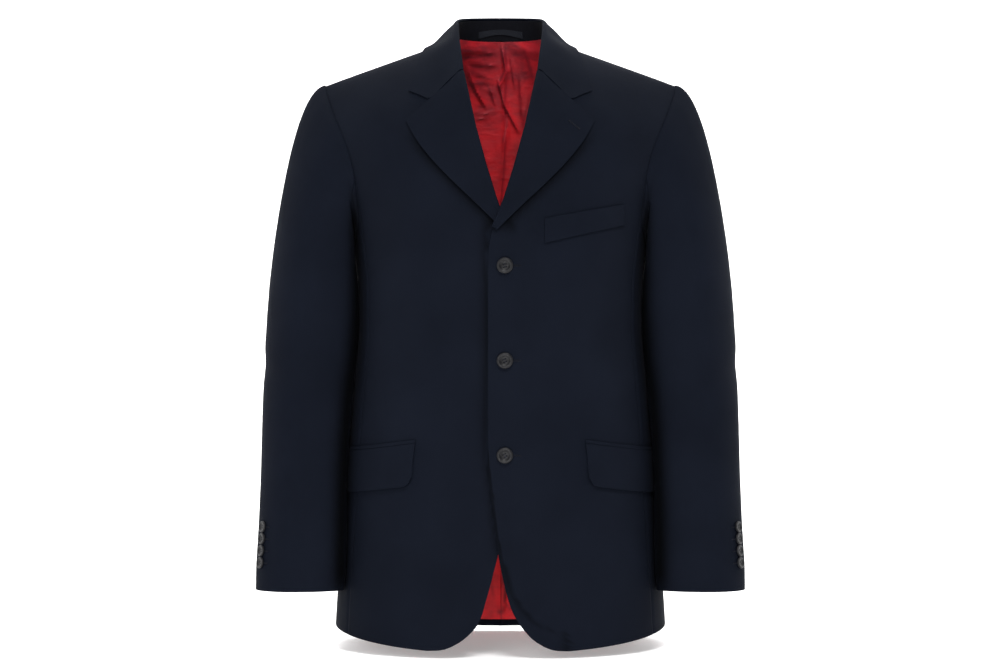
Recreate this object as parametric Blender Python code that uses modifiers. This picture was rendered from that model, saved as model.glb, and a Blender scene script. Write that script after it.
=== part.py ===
"""Single-breasted blazer in its worn, hollow form: fronts, sides, backs, sleeves, collar, pockets, buttons.

The front faces -Y, the wearer's left is +X, and the origin lies between the shoulders at neck level.
Sizes are in millimetres here and become metres where the meshes are made.
"""

import bisect
import math

import bmesh
import bpy
from mathutils import Matrix, Vector

MM = 0.001

# Cloth and seams
WALL = 1.6
LINING_WALL = 1.0
LAPEL_WALL = 2.0
LAPEL_GAP = 0.9
SEAM_GAP = 0.3
SLEEVE_SEAM_GAP = 0.45
LAY_GAP = 0.5
SHARPEST_CORNER = 0.4
SHARP_EDGE_ANGLE = 50.0

# Trunk: a rounded section at each drop below the shoulder line
SHOULDER_Y = 8.0
SECTION_POWER = 2.4
NECK_HALF_WIDTH = 70.0
SHOULDER_TOP = 34.6
SHOULDER_SLOPE = 0.3565
SHOULDER_SOFTNESS = 15.0
NAPE_RISE = 45.0
NAPE_POWER = 1.2
HEM_SIDE = 733.0
HEM_SAG = 21.5
HEM_POWER = 1.4
HEM_START = 600.0
NORMAL_STEP = 0.6
SEARCH_MARGIN = 40.0
SEARCH_STEPS = 40

TRUNK_COLUMNS = ("drop", "half_width", "front_depth", "back_depth", "slope_share")
TRUNK_ROWS = (
    (0, 226, 0, 0, 1.00),
    (4, 228, 20, 22, 1.00),
    (12, 231, 38, 40, 1.00),
    (28, 234, 60, 64, 0.98),
    (52, 234, 83, 87, 0.93),
    (80, 229, 104, 105, 0.82),
    (120, 218, 125, 118, 0.62),
    (165, 204, 140, 126, 0.35),
    (205, 194, 148, 129, 0.14),
    (258, 186.5, 153, 129, 0.02),
    (300, 182, 154, 127, 0.0),
    (350, 181.5, 153, 123, 0.0),
    (400, 185.5, 152, 120, 0.0),
    (450, 190.5, 152, 121, 0.0),
    (500, 194.5, 154, 125, 0.0),
    (560, 198.5, 157, 130, 0.0),
    (620, 203, 160, 134, 0.0),
    (680, 207.5, 162, 137, 0.0),
    (757, 212, 164, 139, 0.0),
)

# Rows of every trunk panel, as drops below the shoulder line
ROW_DROPS = (
    0, 4, 12, 28, 52, 80, 120, 165, 205, 236, 268, 310, 355, 400, 450, 500, 550, 600,
    640, 675, 700, 720, 736, 748, 754, 757,
)
GORGE_DROP = 52
BREAK_DROP = 236
ARMHOLE_DROP = 205
ARMPIT_DROP = 258
UNDERARM_FADE = 150.0
NECK_FADE = 150.0

# Armhole edge and side seams, in the half where x is positive
ARMHOLE_COLUMNS = ("drop", "front_x", "back_x")
ARMHOLE_ROWS = (
    (0, 224.5, 224.5),
    (4, 224.3, 224.6),
    (12, 223.0, 223.6),
    (28, 218.0, 220.0),
    (52, 210.5, 214.5),
    (80, 201.5, 207.0),
    (120, 190.0, 198.0),
    (165, 182.3, 191.0),
    (205, 179.0, 187.0),
)
SEAM_COLUMNS = ("drop", "front_turn", "back_turn")
SEAM_ROWS = (
    (205, 67.33, 105.44),
    (310, 66.0, 108.0),
    (400, 65.0, 110.0),
    (550, 65.0, 112.0),
    (757, 65.0, 113.0),
)

# Inner edges of the fronts, each in its own half: neck seam, roll line, front edge and cutaway
# Columns: drop, edge_x
ROLL_EDGE = (
    (0, 70), (4, 69), (12, 66.5), (28, 59.5), (52, 47.5), (80, 41.5), (120, 32.5), (165, 19.3), (205, 5.5),
)
LEFT_EDGE = ROLL_EDGE + (
    (236, -8.5), (268, -14.5), (310, -15), (519, -15), (555, -12.5), (592, -7.5), (635, -2.4),
    (672, 5), (702, 13.5), (724, 26), (740, 40), (750, 54.5), (755, 67), (757, 84),
)
RIGHT_EDGE = ROLL_EDGE + (
    (236, -7), (268, -15), (310, -18), (520, -18), (560, -14), (600, -6), (633, 2.4),
    (664, 10), (690, 17), (715, 24.5), (726, 31), (741, 46), (750, 60), (755, 73), (757, 90),
)
# Columns: x, drop
BACK_NECK = ((0, 44), (28, 40), (45, 30), (58, 18), (66, 6.5), (70, 0))

# The left front laps over the right one, and stands a little higher where the lapels cross
LAP_LIFT = 2.5
LAP_INNER_X = 26.0
LAP_OUTER_X = 48.0
CROSS_LIFT = 4.4
CROSS_DROP = 226.0
CROSS_REACH = 42.0

FRONT_STEPS = 11
BACK_FRACTIONS = (0.0, 0.07, 0.125, 0.172, 0.2134, 0.33, 0.46, 0.59, 0.73, 0.87, 1.0)
UNDERARM_STEPS = 3

# Lapel: outer edge in its own half, from the tip to the break
LAPEL_COLUMNS = ("along", "x", "z")
LAPEL_EDGE = (
    (0.0, 117, -100), (0.2, 103, -125), (0.4, 81, -153), (0.6, 55, -180), (0.8, 26, -208), (1.0, -4, -238),
)
LAPEL_STEPS = 10
LAPEL_ACROSS = (0.05, 0.14, 0.3, 0.52, 0.76, 1.0)
LAPEL_ROLL_LIFT = 2.2
LAPEL_ROLL_REACH = 0.35
ROLL_RADIUS = 2.6
ROLL_CENTRE = 1.25
ROLL_ANGLES = (-50, 0, 50)
ROLL_DIP = 0.3

# Collar: neck seam, fold and outer edge at stations from the centre back to the gorge
COLLAR_COLUMNS = ("face", "base_x", "base_drop", "fold_x", "fold_y", "fold_z", "edge_x", "edge_z")
COLLAR_ROWS = (
    ("back", 0, 44, 0, 86, 51, 0, 0),
    ("back", 14, 43, 13.5, 84.5, 50.8, 15, -0.3),
    ("back", 28, 40, 27, 81, 50.2, 30, -1),
    ("back", 45, 30, 42, 69, 48.4, 52, -4.5),
    ("back", 58, 18, 51.5, 52, 45.6, 68, -7),
    ("back", 62.5, 12, 54, 43, 43.8, 75, -5.6),
    ("back", 66, 6.5, 56, 34, 41.4, 81, -4),
    ("back", 69, 2, 57, 21, 37.8, 88, -0.6),
    ("front", 69.4, 2, 57, 6, 32.6, 93, 0.2),
    ("front", 67.5, 9, 56.3, -12, 23.8, 97, -9),
    ("front", 63.5, 20, 55, -33, 10, 101.5, -22),
    ("front", 56.5, 34, 51.8, -57, -12, 107, -40),
    ("front", 47.5, 52, 48.2, -78.3, -35.3, 114, -61),
)
NOTCH_X = 87.5
NOTCH_Z = -72.0
COLLAR_WALL = 1.8
COLLAR_GAP = 1.3
COLLAR_BACK_LIFT = 1.0
FOLD_RADIUS = 2.6
FOLD_ANGLES = (172.0, 130.0, 75.0)
FOLD_FRONT_ANGLES = (230.0, 180.0, 130.0)
FOLD_FRONT_STATIONS = (9.0, 12.0)
NOTCH_SHARE = 0.56
FALL_ACROSS = (0.14, 0.34, 0.56, 0.78, 1.0)
FALL_BULGE = 3.0
FALL_SETTLE = 1.6
STAND_SHARES = (0.0, 0.5, 1.0)
STAND_TOP_GAP = 1.3
STAND_LAST = 10
STAND_BASE_GAP = 0.7
LOOP_STATIONS = (-2.18, -2.0, -1.0, 0.0, 1.0, 2.0, 2.18)
LOOP_SHARES = (0.32, 0.58)
LOOP_WALL = 1.0
LOOP_GAP = 0.4

# Sleeve: level sections from the armpit to the cuff, centre and half sizes, its two seams, and its distance
# from the trunk, which is larger over the hip pockets
SLEEVE_COLUMNS = ("z", "centre_x", "half_width", "centre_y", "half_depth", "hind", "fore", "clear")
SLEEVE_ROWS = (
    (-276, 235.5, 57.5, 4, 73, -82, 150, 5.0),
    (-310, 237.5, 59.0, 3, 71, -72, 152, 3.0),
    (-350, 240.7, 59.0, 1, 67, -60, 155, 1.8),
    (-400, 244.7, 56.7, -4, 63, -47, 158, 1.6),
    (-450, 246.8, 56.0, -12, 59, -36, 163, 2.2),
    (-500, 249.2, 54.4, -20, 55, -26, 168, 5.8),
    (-550, 250.8, 53.4, -28, 51, -16, 172, 6.4),
    (-600, 252.4, 53.2, -37, 48, -7, 177, 4.0),
    (-650, 255.0, 53.0, -46, 45, 2, 182, 2.2),
    (-685.5, 258.0, 50.0, -52, 42.5, 8, 184, 2.2),
)
SLEEVE_LEVELS = (-276, -300, -330, -365, -400, -440, -485, -530, -575, -620, -655, -685.5)
CAP_SHARES = (0.0, 0.07, 0.16, 0.28, 0.44, 0.62, 0.81)
CAP_LEAVE_OUT = 0.33
CAP_LEAVE_SPREAD = 0.12
CAP_LEAVE_AHEAD = 0.18
CAP_LEAVE_DOWN = 0.30
CAP_LEAVE_ROUND = 0.26
CAP_ARRIVE_OUT = 0.055
SLEEVE_INNER_SHARE = 1.34
SLEEVE_SOFTNESS = 1.5
ARMHOLE_CLEARANCE = 1.0
ARMHOLE_LIFT = 0.35
ARMHOLE_STEP = 0.2
EVEN_SPREAD = 120.0
HIND_DROP = 120
FORE_DROP = 165

# Soft creases of a sleeve, as shallow troughs that lean across it
CREASE_COLUMNS = ("angle", "z", "half_turn", "half_height", "lean", "depth")
CREASES = (
    (60, -338, 70, 13, 0.35, 2.4),
    (30, -412, 60, 15, -0.30, 2.2),
    (75, -468, 55, 14, 0.40, 1.8),
    (205, -398, 60, 13, 0.25, 2.6),
    (235, -452, 55, 15, -0.35, 2.2),
    (290, -350, 60, 16, 0.30, 2.4),
)

# Pockets, each in its own half
FLAP_START_X = 104.0
FLAP_TOP = 499.0
FLAP_LENGTH = 152.0
FLAP_HEIGHT = 52.0
FLAP_SLANT = 13.0
FLAP_CORNER = 13.0
FLAP_LEAN = 4.0
FLAP_FLARE = 1.2
FLAP_WALL = 1.8
POCKET_GAP = 1.0
WALK_STEP = 0.25
FLAP_DISTANCES = (
    0.0, 1.5, 4.0, 8.0, 13.0, 32.0, 56.0, 80.0, 104.0, 126.0, 139.0, 144.0, 148.0, 150.5, 152.0,
)
FLAP_DEPTH_STEPS = 3
JET_HEIGHT = 4.5
JET_GAP = 0.4
JET_WALL = 1.2
WELT_X = (54.0, 153.5)
WELT_TOP = (-223.0, -203.5)
WELT_BOTTOM = (-253.5, -229.5)
WELT_STEPS = 7
WELT_DEPTH_STEPS = 2
WELT_WALL = 1.6

# Buttons
FRONT_BUTTON_RADIUS = 10.0
FRONT_BUTTON_WALL = 3.6
FRONT_BUTTON_X = 5.5
FRONT_BUTTON_DROPS = (281.0, 397.0, 513.0)
CUFF_BUTTON_RADIUS = 7.2
CUFF_BUTTON_WALL = 2.8
CUFF_BUTTON_ANGLE = 33.0
CUFF_BUTTON_LEVELS = (-606.5, -621.3, -636.1, -650.9)
# Columns: share of the radius, share of the thickness
BUTTON_PROFILE = ((0.0, 0.62), (0.58, 0.62), (0.72, 1.0), (0.9, 0.94), (1.0, 0.55), (0.86, 0.0), (0.0, 0.0))
FRONT_BUTTON_SIDES = 18
CUFF_BUTTON_SIDES = 12
BUTTON_STEP = 4.0
AROUND_BUTTON = ((0, 0), (BUTTON_STEP, 0), (-BUTTON_STEP, 0), (0, BUTTON_STEP), (0, -BUTTON_STEP))

# Lining of the back: rows of the back it follows, and how far it hangs clear between its sewn edges
LINING_DROPS = ROW_DROPS[1:-1]
LINING_FRACTIONS = (0.0, 0.03, 0.07, 0.125, 0.2134, 0.33, 0.59, 1.0)
LINING_GAP = 1.2
LINING_SLACK = 3.5
LINING_PLEAT = 2.5
LINING_PLEAT_REACH = 0.05
LINING_FULL_DROP = 90.0

BODY_COLOUR = (0.010, 0.012, 0.020, 1.0)
TRIM_COLOUR = (0.014, 0.014, 0.018, 1.0)
LINING_COLOUR = (0.26, 0.018, 0.022, 1.0)
BUTTON_COLOUR = (0.025, 0.026, 0.030, 1.0)
LEFT = 1
RIGHT = -1
BEYOND = 500.0


def smooth_line(points):
    """A curve through (station, value) pairs that keeps flat stretches flat and never overshoots."""
    xs = [float(p[0]) for p in points]
    ys = [float(p[1]) for p in points]
    widths = [b - a for a, b in zip(xs, xs[1:])]
    slopes = [(d - c) / w for c, d, w in zip(ys, ys[1:], widths)]
    tangents = [slopes[0]]
    for left, right in zip(slopes, slopes[1:]):
        tangents.append(0.0 if left * right <= 0.0 else 2.0 * left * right / (left + right))
    tangents.append(slopes[-1])

    def value(x):
        x = min(max(x, xs[0]), xs[-1])
        i = min(bisect.bisect_right(xs, x) - 1, len(widths) - 1)
        return hermite(ys[i], ys[i + 1], tangents[i] * widths[i], tangents[i + 1] * widths[i],
                       (x - xs[i]) / widths[i])

    return value


def hermite(start, end, leave, arrive, t):
    """The cubic from start to end with the given end tangents, for numbers or vectors."""
    return (start * (2 * t**3 - 3 * t**2 + 1) + leave * (t**3 - 2 * t**2 + t)
            + end * (3 * t**2 - 2 * t**3) + arrive * (t**3 - t**2))


def column_curves(rows, names):
    """One smooth curve for each column after the first, which holds the stations."""
    return {name: smooth_line([(row[0], row[i]) for row in rows]) for i, name in enumerate(names) if i}


def ease(t):
    """0 to 1 with level ends."""
    t = min(max(t, 0.0), 1.0)
    return t * t * (3.0 - 2.0 * t)


TRUNK = column_curves(TRUNK_ROWS, TRUNK_COLUMNS)
ARMHOLE = column_curves(ARMHOLE_ROWS, ARMHOLE_COLUMNS)
SEAM = column_curves(SEAM_ROWS, SEAM_COLUMNS)
SLEEVE = column_curves(SLEEVE_ROWS[::-1], SLEEVE_COLUMNS)
FRONT_EDGE = {LEFT: smooth_line(LEFT_EDGE), RIGHT: smooth_line(RIGHT_EDGE)}
NECK_DROP = smooth_line(BACK_NECK)
LAPEL = column_curves(LAPEL_EDGE, LAPEL_COLUMNS)


# ---- trunk form ----------------------------------------------------------------------------------


def ridge(x):
    """Height of the shoulder line at x."""
    return SHOULDER_TOP - SHOULDER_SLOPE * math.hypot(x, SHOULDER_SOFTNESS)


def nape(x, drop):
    """Extra height of the back below the neck."""
    share = max(0.0, 1.0 - (x / NECK_HALF_WIDTH) ** 2)
    return NAPE_RISE * share**NAPE_POWER * (1.0 - ease(drop / NECK_FADE))


def hem_drop(turn):
    """How far down the hem lies at a turn about the trunk, 0 in front and 180 behind."""
    return HEM_SIDE + HEM_SAG * abs(math.cos(math.radians(turn))) ** HEM_POWER


def hang(drop, turn):
    """A row's drop at a turn, with the rows near the hem following it."""
    if drop <= HEM_START:
        return drop
    last = ROW_DROPS[-1]
    return HEM_START + (drop - HEM_START) * (hem_drop(turn) - HEM_START) / (last - HEM_START)


def trunk(turn, drop):
    """Point of the trunk's outer form in the half where x is positive."""
    width = TRUNK["half_width"](drop)
    share = math.sin(math.radians(turn))
    x = width * share
    bulge = max(0.0, 1.0 - abs(share) ** SECTION_POWER) ** (1.0 / SECTION_POWER)
    z = TRUNK["slope_share"](drop) * ridge(x) - drop
    if turn > 90.0:
        return Vector((x, SHOULDER_Y + TRUNK["back_depth"](drop) * bulge, z + nape(x, drop)))
    return Vector((x, SHOULDER_Y - TRUNK["front_depth"](drop) * bulge, z))


def trunk_normal(turn, drop):
    """Outward direction of the trunk's form, shared by the panels that meet there."""
    across = trunk(turn + NORMAL_STEP, drop) - trunk(turn - NORMAL_STEP, drop)
    if drop < NORMAL_STEP:
        down = trunk(turn, NORMAL_STEP) - trunk(180.0 - turn, NORMAL_STEP)
    else:
        down = trunk(turn, drop + NORMAL_STEP) - trunk(turn, drop - NORMAL_STEP)
    return across.cross(down).normalized() * -1.0


def turn_at(x, drop, behind=False):
    """The turn at which the trunk has the given x."""
    share = min(max(x / TRUNK["half_width"](drop), -1.0), 1.0)
    turn = math.degrees(math.asin(share))
    return 180.0 - turn if behind else turn


def drop_at(x, z, behind=False):
    """The drop at which the trunk's form has the given x and height."""
    low, high = 0.0, ROW_DROPS[-1] + SEARCH_MARGIN
    for _ in range(SEARCH_STEPS):
        middle = 0.5 * (low + high)
        height = TRUNK["slope_share"](middle) * ridge(x) - middle + (nape(x, middle) if behind else 0.0)
        if height > z:
            low = middle
        else:
            high = middle
    return 0.5 * (low + high)


def trunk_width_at(x, y, z):
    """Half-width of the trunk's form at a depth and height, near the given x."""
    drop = drop_at(x, z)
    depth = TRUNK["back_depth"](drop) if y > SHOULDER_Y else TRUNK["front_depth"](drop)
    share = abs(y - SHOULDER_Y) / max(depth, 1.0)
    return TRUNK["half_width"](drop) * max(0.0, 1.0 - share**SECTION_POWER) ** (1.0 / SECTION_POWER)


def lap(side, x, drop):
    """How far the left front stands off the form where it laps over the right one."""
    if side == RIGHT:
        return 0.0
    cross = CROSS_LIFT * (1.0 - ease(abs(drop - CROSS_DROP) / CROSS_REACH))
    below = ease((drop - GORGE_DROP) / (BREAK_DROP - GORGE_DROP))
    return (LAP_LIFT * below + cross) * (1.0 - ease((x - LAP_INNER_X) / (LAP_OUTER_X - LAP_INNER_X)))


def panel_point(side, turn, drop, lift=0.0):
    """Point over the trunk's form, on the side given, lifted along its outward direction."""
    point = trunk(turn, drop)
    if turn < 90.0:
        lift += lap(side, point.x, drop)
    point += trunk_normal(turn, drop) * lift
    return Vector((side * point.x, point.y, point.z))


def on_front(side, x, z, lift=0.0):
    """Point over a front at the given place in its own half."""
    drop = drop_at(x, z)
    return panel_point(side, turn_at(x, drop), drop, lift)


def on_back(side, x, z, lift=0.0):
    """Point over a back at the given place in its own half."""
    drop = drop_at(x, z, behind=True)
    return panel_point(side, turn_at(x, drop, behind=True), drop, lift)


# ---- sheets of cloth -----------------------------------------------------------------------------


def draw_in(rows, sides, amount):
    """Moves the named edges of a grid inward along the sheet, square to the edge."""
    last_row, last_col = len(rows) - 1, len(rows[0]) - 1
    moved = [[point.copy() for point in row] for row in rows]
    steps = {"first": (0, 1), "last": (last_col, -1), "top": (0, 1), "bottom": (last_row, -1)}
    for name in sides:
        place, step = steps[name]
        if name in ("first", "last"):
            edge = [(r, place, r, place + step) for r in range(last_row + 1)]
        else:
            edge = [(place, c, place + step, c) for c in range(last_col + 1)]
        for i, (r, c, next_r, next_c) in enumerate(edge):
            before, after = edge[max(i - 1, 0)], edge[min(i + 1, len(edge) - 1)]
            along = (rows[after[0]][after[1]] - rows[before[0]][before[1]]).normalized()
            inward = (rows[next_r][next_c] - rows[r][c]).normalized()
            square = max(inward.cross(along).length, SHARPEST_CORNER)
            moved[r][c] += inward * (amount / square)
    return moved


def cloth(name, outer, inner, finish, collection):
    """A closed sheet between two grids of points, made from a grid that is extruded and shaped."""
    row_steps, col_steps = len(outer) - 1, len(outer[0]) - 1
    mesh = bpy.data.meshes.new(name)
    bm = bmesh.new()
    bmesh.ops.create_grid(bm, x_segments=col_steps, y_segments=row_steps, size=1.0)
    reach = max(vert.co.x for vert in bm.verts)
    place = {}
    for vert in bm.verts:
        place[vert] = (round((vert.co.y / reach + 1.0) * 0.5 * row_steps),
                       round((vert.co.x / reach + 1.0) * 0.5 * col_steps))
    faces = bm.faces[:]
    made = bmesh.ops.extrude_face_region(bm, geom=faces, use_keep_orig=True)
    for item in made["geom"]:
        if isinstance(item, bmesh.types.BMVert):
            row = round((item.co.y / reach + 1.0) * 0.5 * row_steps)
            col = round((item.co.x / reach + 1.0) * 0.5 * col_steps)
            item.co = inner[row][col] * MM
    for vert, (row, col) in place.items():
        vert.co = outer[row][col] * MM
    bmesh.ops.recalc_face_normals(bm, faces=bm.faces[:])
    if bm.calc_volume(signed=True) < 0.0:
        bmesh.ops.reverse_faces(bm, faces=bm.faces[:])
    bm.to_mesh(mesh)
    bm.free()
    mesh.shade_smooth()
    mesh.set_sharp_from_angle(angle=math.radians(SHARP_EDGE_ANGLE))
    mesh.materials.append(finish)
    piece = bpy.data.objects.new(name, mesh)
    collection.objects.link(piece)
    return piece


def panel(name, side, places, sides, finish, collection, wall=WALL, lift=0.0):
    """A trunk panel from a grid of (turn, drop) places, drawn in by half a seam gap at the named edges."""
    outer = [[panel_point(side, turn, drop, lift) for turn, drop in row] for row in places]
    inner = [[panel_point(side, turn, drop, lift - wall) for turn, drop in row] for row in places]
    gap = SEAM_GAP / 2.0
    return cloth(name, draw_in(outer, sides, gap), draw_in(inner, sides, gap), finish, collection)


def finish(name, colour, roughness, metallic=0.0):
    material = bpy.data.materials.new(name)
    material.use_nodes = True
    shader = material.node_tree.nodes["Principled BSDF"]
    shader.inputs["Base Color"].default_value = colour
    shader.inputs["Roughness"].default_value = roughness
    shader.inputs["Metallic"].default_value = metallic
    return material


# ---- trunk panels --------------------------------------------------------------------------------


def armhole_turn(drop, behind):
    return turn_at(ARMHOLE["back_x" if behind else "front_x"](drop), drop, behind)


def seam_turn(drop, behind):
    return SEAM["back_turn" if behind else "front_turn"](drop)


def outer_turn(drop, behind):
    return armhole_turn(drop, behind) if drop <= ARMHOLE_DROP else seam_turn(drop, behind)


def front_places(side):
    rows = []
    for drop in ROW_DROPS:
        start = turn_at(FRONT_EDGE[side](drop), drop)
        end = outer_turn(drop, False)
        turns = [start + (end - start) * i / FRONT_STEPS for i in range(FRONT_STEPS + 1)]
        rows.append([(turn, hang(drop, turn)) for turn in turns])
    return rows


def back_drop(drop, turn):
    """A back row's drop, with the rows near the neck following the neck seam."""
    if drop >= NECK_FADE:
        return hang(drop, turn)
    x = TRUNK["half_width"](drop) * math.sin(math.radians(turn))
    neck = NECK_DROP(x) if x < NECK_HALF_WIDTH else 0.0
    return drop + neck * (1.0 - drop / NECK_FADE)


def back_places(drops):
    rows = []
    for drop in drops:
        end = outer_turn(drop, True)
        turns = [180.0 + (end - 180.0) * share for share in BACK_FRACTIONS]
        rows.append([(turn, back_drop(drop, turn)) for turn in turns])
    return rows


def underarm_turns(drop):
    """Turns of a side panel's columns, closer together towards its seams."""
    front, back = seam_turn(drop, False), seam_turn(drop, True)
    shares = [math.sin(math.radians(90.0 * i / UNDERARM_STEPS)) for i in range(UNDERARM_STEPS + 1)]
    forward = [90.0 - (90.0 - front) * share for share in reversed(shares)]
    return forward + [90.0 + (back - 90.0) * share for share in shares[1:]]


def underarm_dip(turn):
    """How far the underarm curve hangs below the seams' upper ends."""
    reach = 90.0 - seam_turn(ARMHOLE_DROP, False) if turn < 90.0 else seam_turn(ARMHOLE_DROP, True) - 90.0
    share = min(abs(turn - 90.0) / reach, 1.0)
    return (ARMPIT_DROP - ARMHOLE_DROP) * math.sqrt(1.0 - share * share)


def side_places():
    rows = []
    dips = [underarm_dip(turn) for turn in underarm_turns(ARMHOLE_DROP)]
    for drop in ROW_DROPS:
        if drop < ARMHOLE_DROP:
            continue
        fade = max(0.0, 1.0 - (drop - ARMHOLE_DROP) / UNDERARM_FADE)
        turns = underarm_turns(drop)
        rows.append([(turn, hang(drop, turn) + fade * dip) for turn, dip in zip(turns, dips)])
    return rows


def build_trunk(cloths, collection):
    body = cloths["body"]
    for side, word in ((LEFT, "left"), (RIGHT, "right")):
        panel(f"front_{word}", side, front_places(side), ("last", "top"), body, collection)
        panel(f"back_{word}", side, back_places(ROW_DROPS), ("first", "last", "top"), body, collection)
        panel(f"side_{word}", side, side_places(), ("first", "last"), body, collection)


# ---- sleeves -------------------------------------------------------------------------------------


def armhole_ring():
    """Places round the armhole, from the shoulder down the front, under the arm and up the back."""
    drops = [drop for drop in ROW_DROPS if drop <= ARMHOLE_DROP]
    front = [(armhole_turn(drop, False), drop) for drop in drops]
    under = [(turn, ARMHOLE_DROP + underarm_dip(turn)) for turn in underarm_turns(ARMHOLE_DROP)[1:-1]]
    back = [(armhole_turn(drop, True), drop) for drop in reversed(drops[1:])]
    fore = drops.index(FORE_DROP)
    hind = len(front) + len(under) + len(drops) - 1 - drops.index(HIND_DROP)
    return front + under + back, fore, hind


def crease(angle, z):
    """Depth of the sleeve's soft creases at a place on it."""
    depth = 0.0
    for values in CREASES:
        fold = dict(zip(CREASE_COLUMNS, values))
        swing = (angle - fold["angle"] + 180.0) % 360.0 - 180.0
        height = z - fold["z"] - fold["lean"] * swing
        fade = 2.0 * (swing / fold["half_turn"]) ** 2 + (height / fold["half_height"]) ** 2
        depth += fold["depth"] * math.exp(-fade)
    return depth


def clear_of_trunk(x, y, z, clearance):
    """The given x, kept a clearance outside the trunk's form."""
    limit = trunk_width_at(x, y, z) + clearance
    if x > limit + SLEEVE_SOFTNESS:
        return x
    if x < limit - SLEEVE_SOFTNESS:
        return limit
    return limit + (x - limit + SLEEVE_SOFTNESS) ** 2 / (4.0 * SLEEVE_SOFTNESS)


def sleeve_section(angle, z):
    """Point of a sleeve at an angle about it, 0 outward and 90 in front, and a level."""
    turn = math.radians(angle)
    sink = crease(angle, z)
    full = SLEEVE_INNER_SHARE if math.cos(turn) < 0.0 else 1.0
    x = SLEEVE["centre_x"](z) + (SLEEVE["half_width"](z) * full - sink) * math.cos(turn)
    y = SLEEVE["centre_y"](z) - (SLEEVE["half_depth"](z) - sink) * math.sin(turn)
    return Vector((clear_of_trunk(x, y, z, SLEEVE["clear"](z)), y, z))


def ring_shares(points):
    """Share of the length along a run of points at each of them."""
    lengths = [0.0]
    for a, b in zip(points, points[1:]):
        lengths.append(lengths[-1] + (b - a).length)
    return [length / lengths[-1] for length in lengths]


def sleeve_angles(z, fore, hind, count, top_shares, under_shares):
    """Angles of the ring's points at a level, between the hind and fore seams."""
    hind_angle, fore_angle = SLEEVE["hind"](z), SLEEVE["fore"](z)
    angles = [0.0] * count
    top_nodes = [(hind + i) % count for i in range(len(top_shares))]
    under_nodes = [fore + i for i in range(len(under_shares))]
    even = ease((SLEEVE_LEVELS[0] - z) / EVEN_SPREAD)
    for i, (node, share) in enumerate(zip(top_nodes, top_shares)):
        share += even * (i / (len(top_nodes) - 1) - share)
        angles[node] = hind_angle + (fore_angle - hind_angle) * share
    for i, (node, share) in enumerate(zip(under_nodes, under_shares)):
        share += even * (i / (len(under_nodes) - 1) - share)
        angles[node % count] = fore_angle + (hind_angle + 360.0 - fore_angle) * share
    return angles


def cap_directions(angle):
    """Directions in which the cap leaves the armhole and arrives at the first section, at an angle."""
    outward, ahead = math.cos(math.radians(angle)), math.sin(math.radians(angle))
    leave = Vector((CAP_LEAVE_OUT + CAP_LEAVE_SPREAD * outward, -CAP_LEAVE_AHEAD * ahead,
                    -CAP_LEAVE_DOWN + CAP_LEAVE_ROUND * outward))
    arrive = Vector((CAP_ARRIVE_OUT * (1.0 + outward), 0.0, -1.0))
    return leave, arrive


def sleeve_grid():
    """Points and outward directions of a whole sleeve in the half where x is positive."""
    places, fore, hind = armhole_ring()
    count = len(places)
    seam = [trunk(turn, drop) for turn, drop in places]
    outward = [trunk_normal(turn, drop) for turn, drop in places]
    top_shares = ring_shares([seam[(hind + i) % count] for i in range(count - hind + fore + 1)])
    under_shares = ring_shares([seam[i] for i in range(fore, hind + 1)])
    first_angles = sleeve_angles(SLEEVE_LEVELS[0], fore, hind, count, top_shares, under_shares)
    ends = [sleeve_section(angle, SLEEVE_LEVELS[0]) for angle in first_angles]
    widest = SLEEVE["clear"](SLEEVE_LEVELS[0])
    rows = []
    for share in CAP_SHARES:
        row = []
        for i in range(count):
            reach = (ends[i] - seam[i]).length
            leave, arrive = cap_directions(first_angles[i])
            start = seam[i] + outward[i] * ARMHOLE_LIFT + leave.normalized() * ARMHOLE_STEP
            point = hermite(start, ends[i], leave * reach, arrive * reach, share)
            gap = ARMHOLE_CLEARANCE + (widest - ARMHOLE_CLEARANCE) * ease(share)
            limit = trunk_width_at(point.x, point.y, point.z) + gap
            if share > 0.0 and point.x < limit:
                point.x = limit
            row.append(point)
        rows.append(row)
    for level in SLEEVE_LEVELS:
        angles = sleeve_angles(level, fore, hind, count, top_shares, under_shares)
        rows.append([sleeve_section(angle, level) for angle in angles])
    return rows, fore, hind


def ring_normals(rows):
    """Outward directions of rings of points, each ring closed."""
    count = len(rows[0])
    last = len(rows) - 1
    normals = []
    for r in range(last + 1):
        line = []
        for c in range(count):
            around = rows[r][(c + 1) % count] - rows[r][(c - 1) % count]
            down = rows[min(r + 1, last)][c] - rows[max(r - 1, 0)][c]
            line.append(around.cross(down).normalized())
        normals.append(line)
    return normals


def build_sleeves(cloths, collection):
    rows, fore, hind = sleeve_grid()
    normals = ring_normals(rows)
    count = len(rows[0])
    top = [(hind + i) % count for i in range(count - hind + fore + 1)]
    under = list(range(fore, hind + 1))
    gap = SLEEVE_SEAM_GAP / 2.0
    for side, word in ((LEFT, "left"), (RIGHT, "right")):
        mirror = Matrix.Diagonal((side, 1.0, 1.0))
        for kind, nodes in (("top_sleeve", top), ("under_sleeve", under)):
            outer = [[mirror @ row[n] for n in nodes] for row in rows]
            inner = [[mirror @ (row[n] - line[n] * WALL) for n in nodes]
                     for row, line in zip(rows, normals)]
            cloth(f"{kind}_{word}", draw_in(outer, ("first", "last"), gap),
                  draw_in(inner, ("first", "last"), gap), cloths["body"], collection)


# ---- lapels --------------------------------------------------------------------------------------


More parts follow.
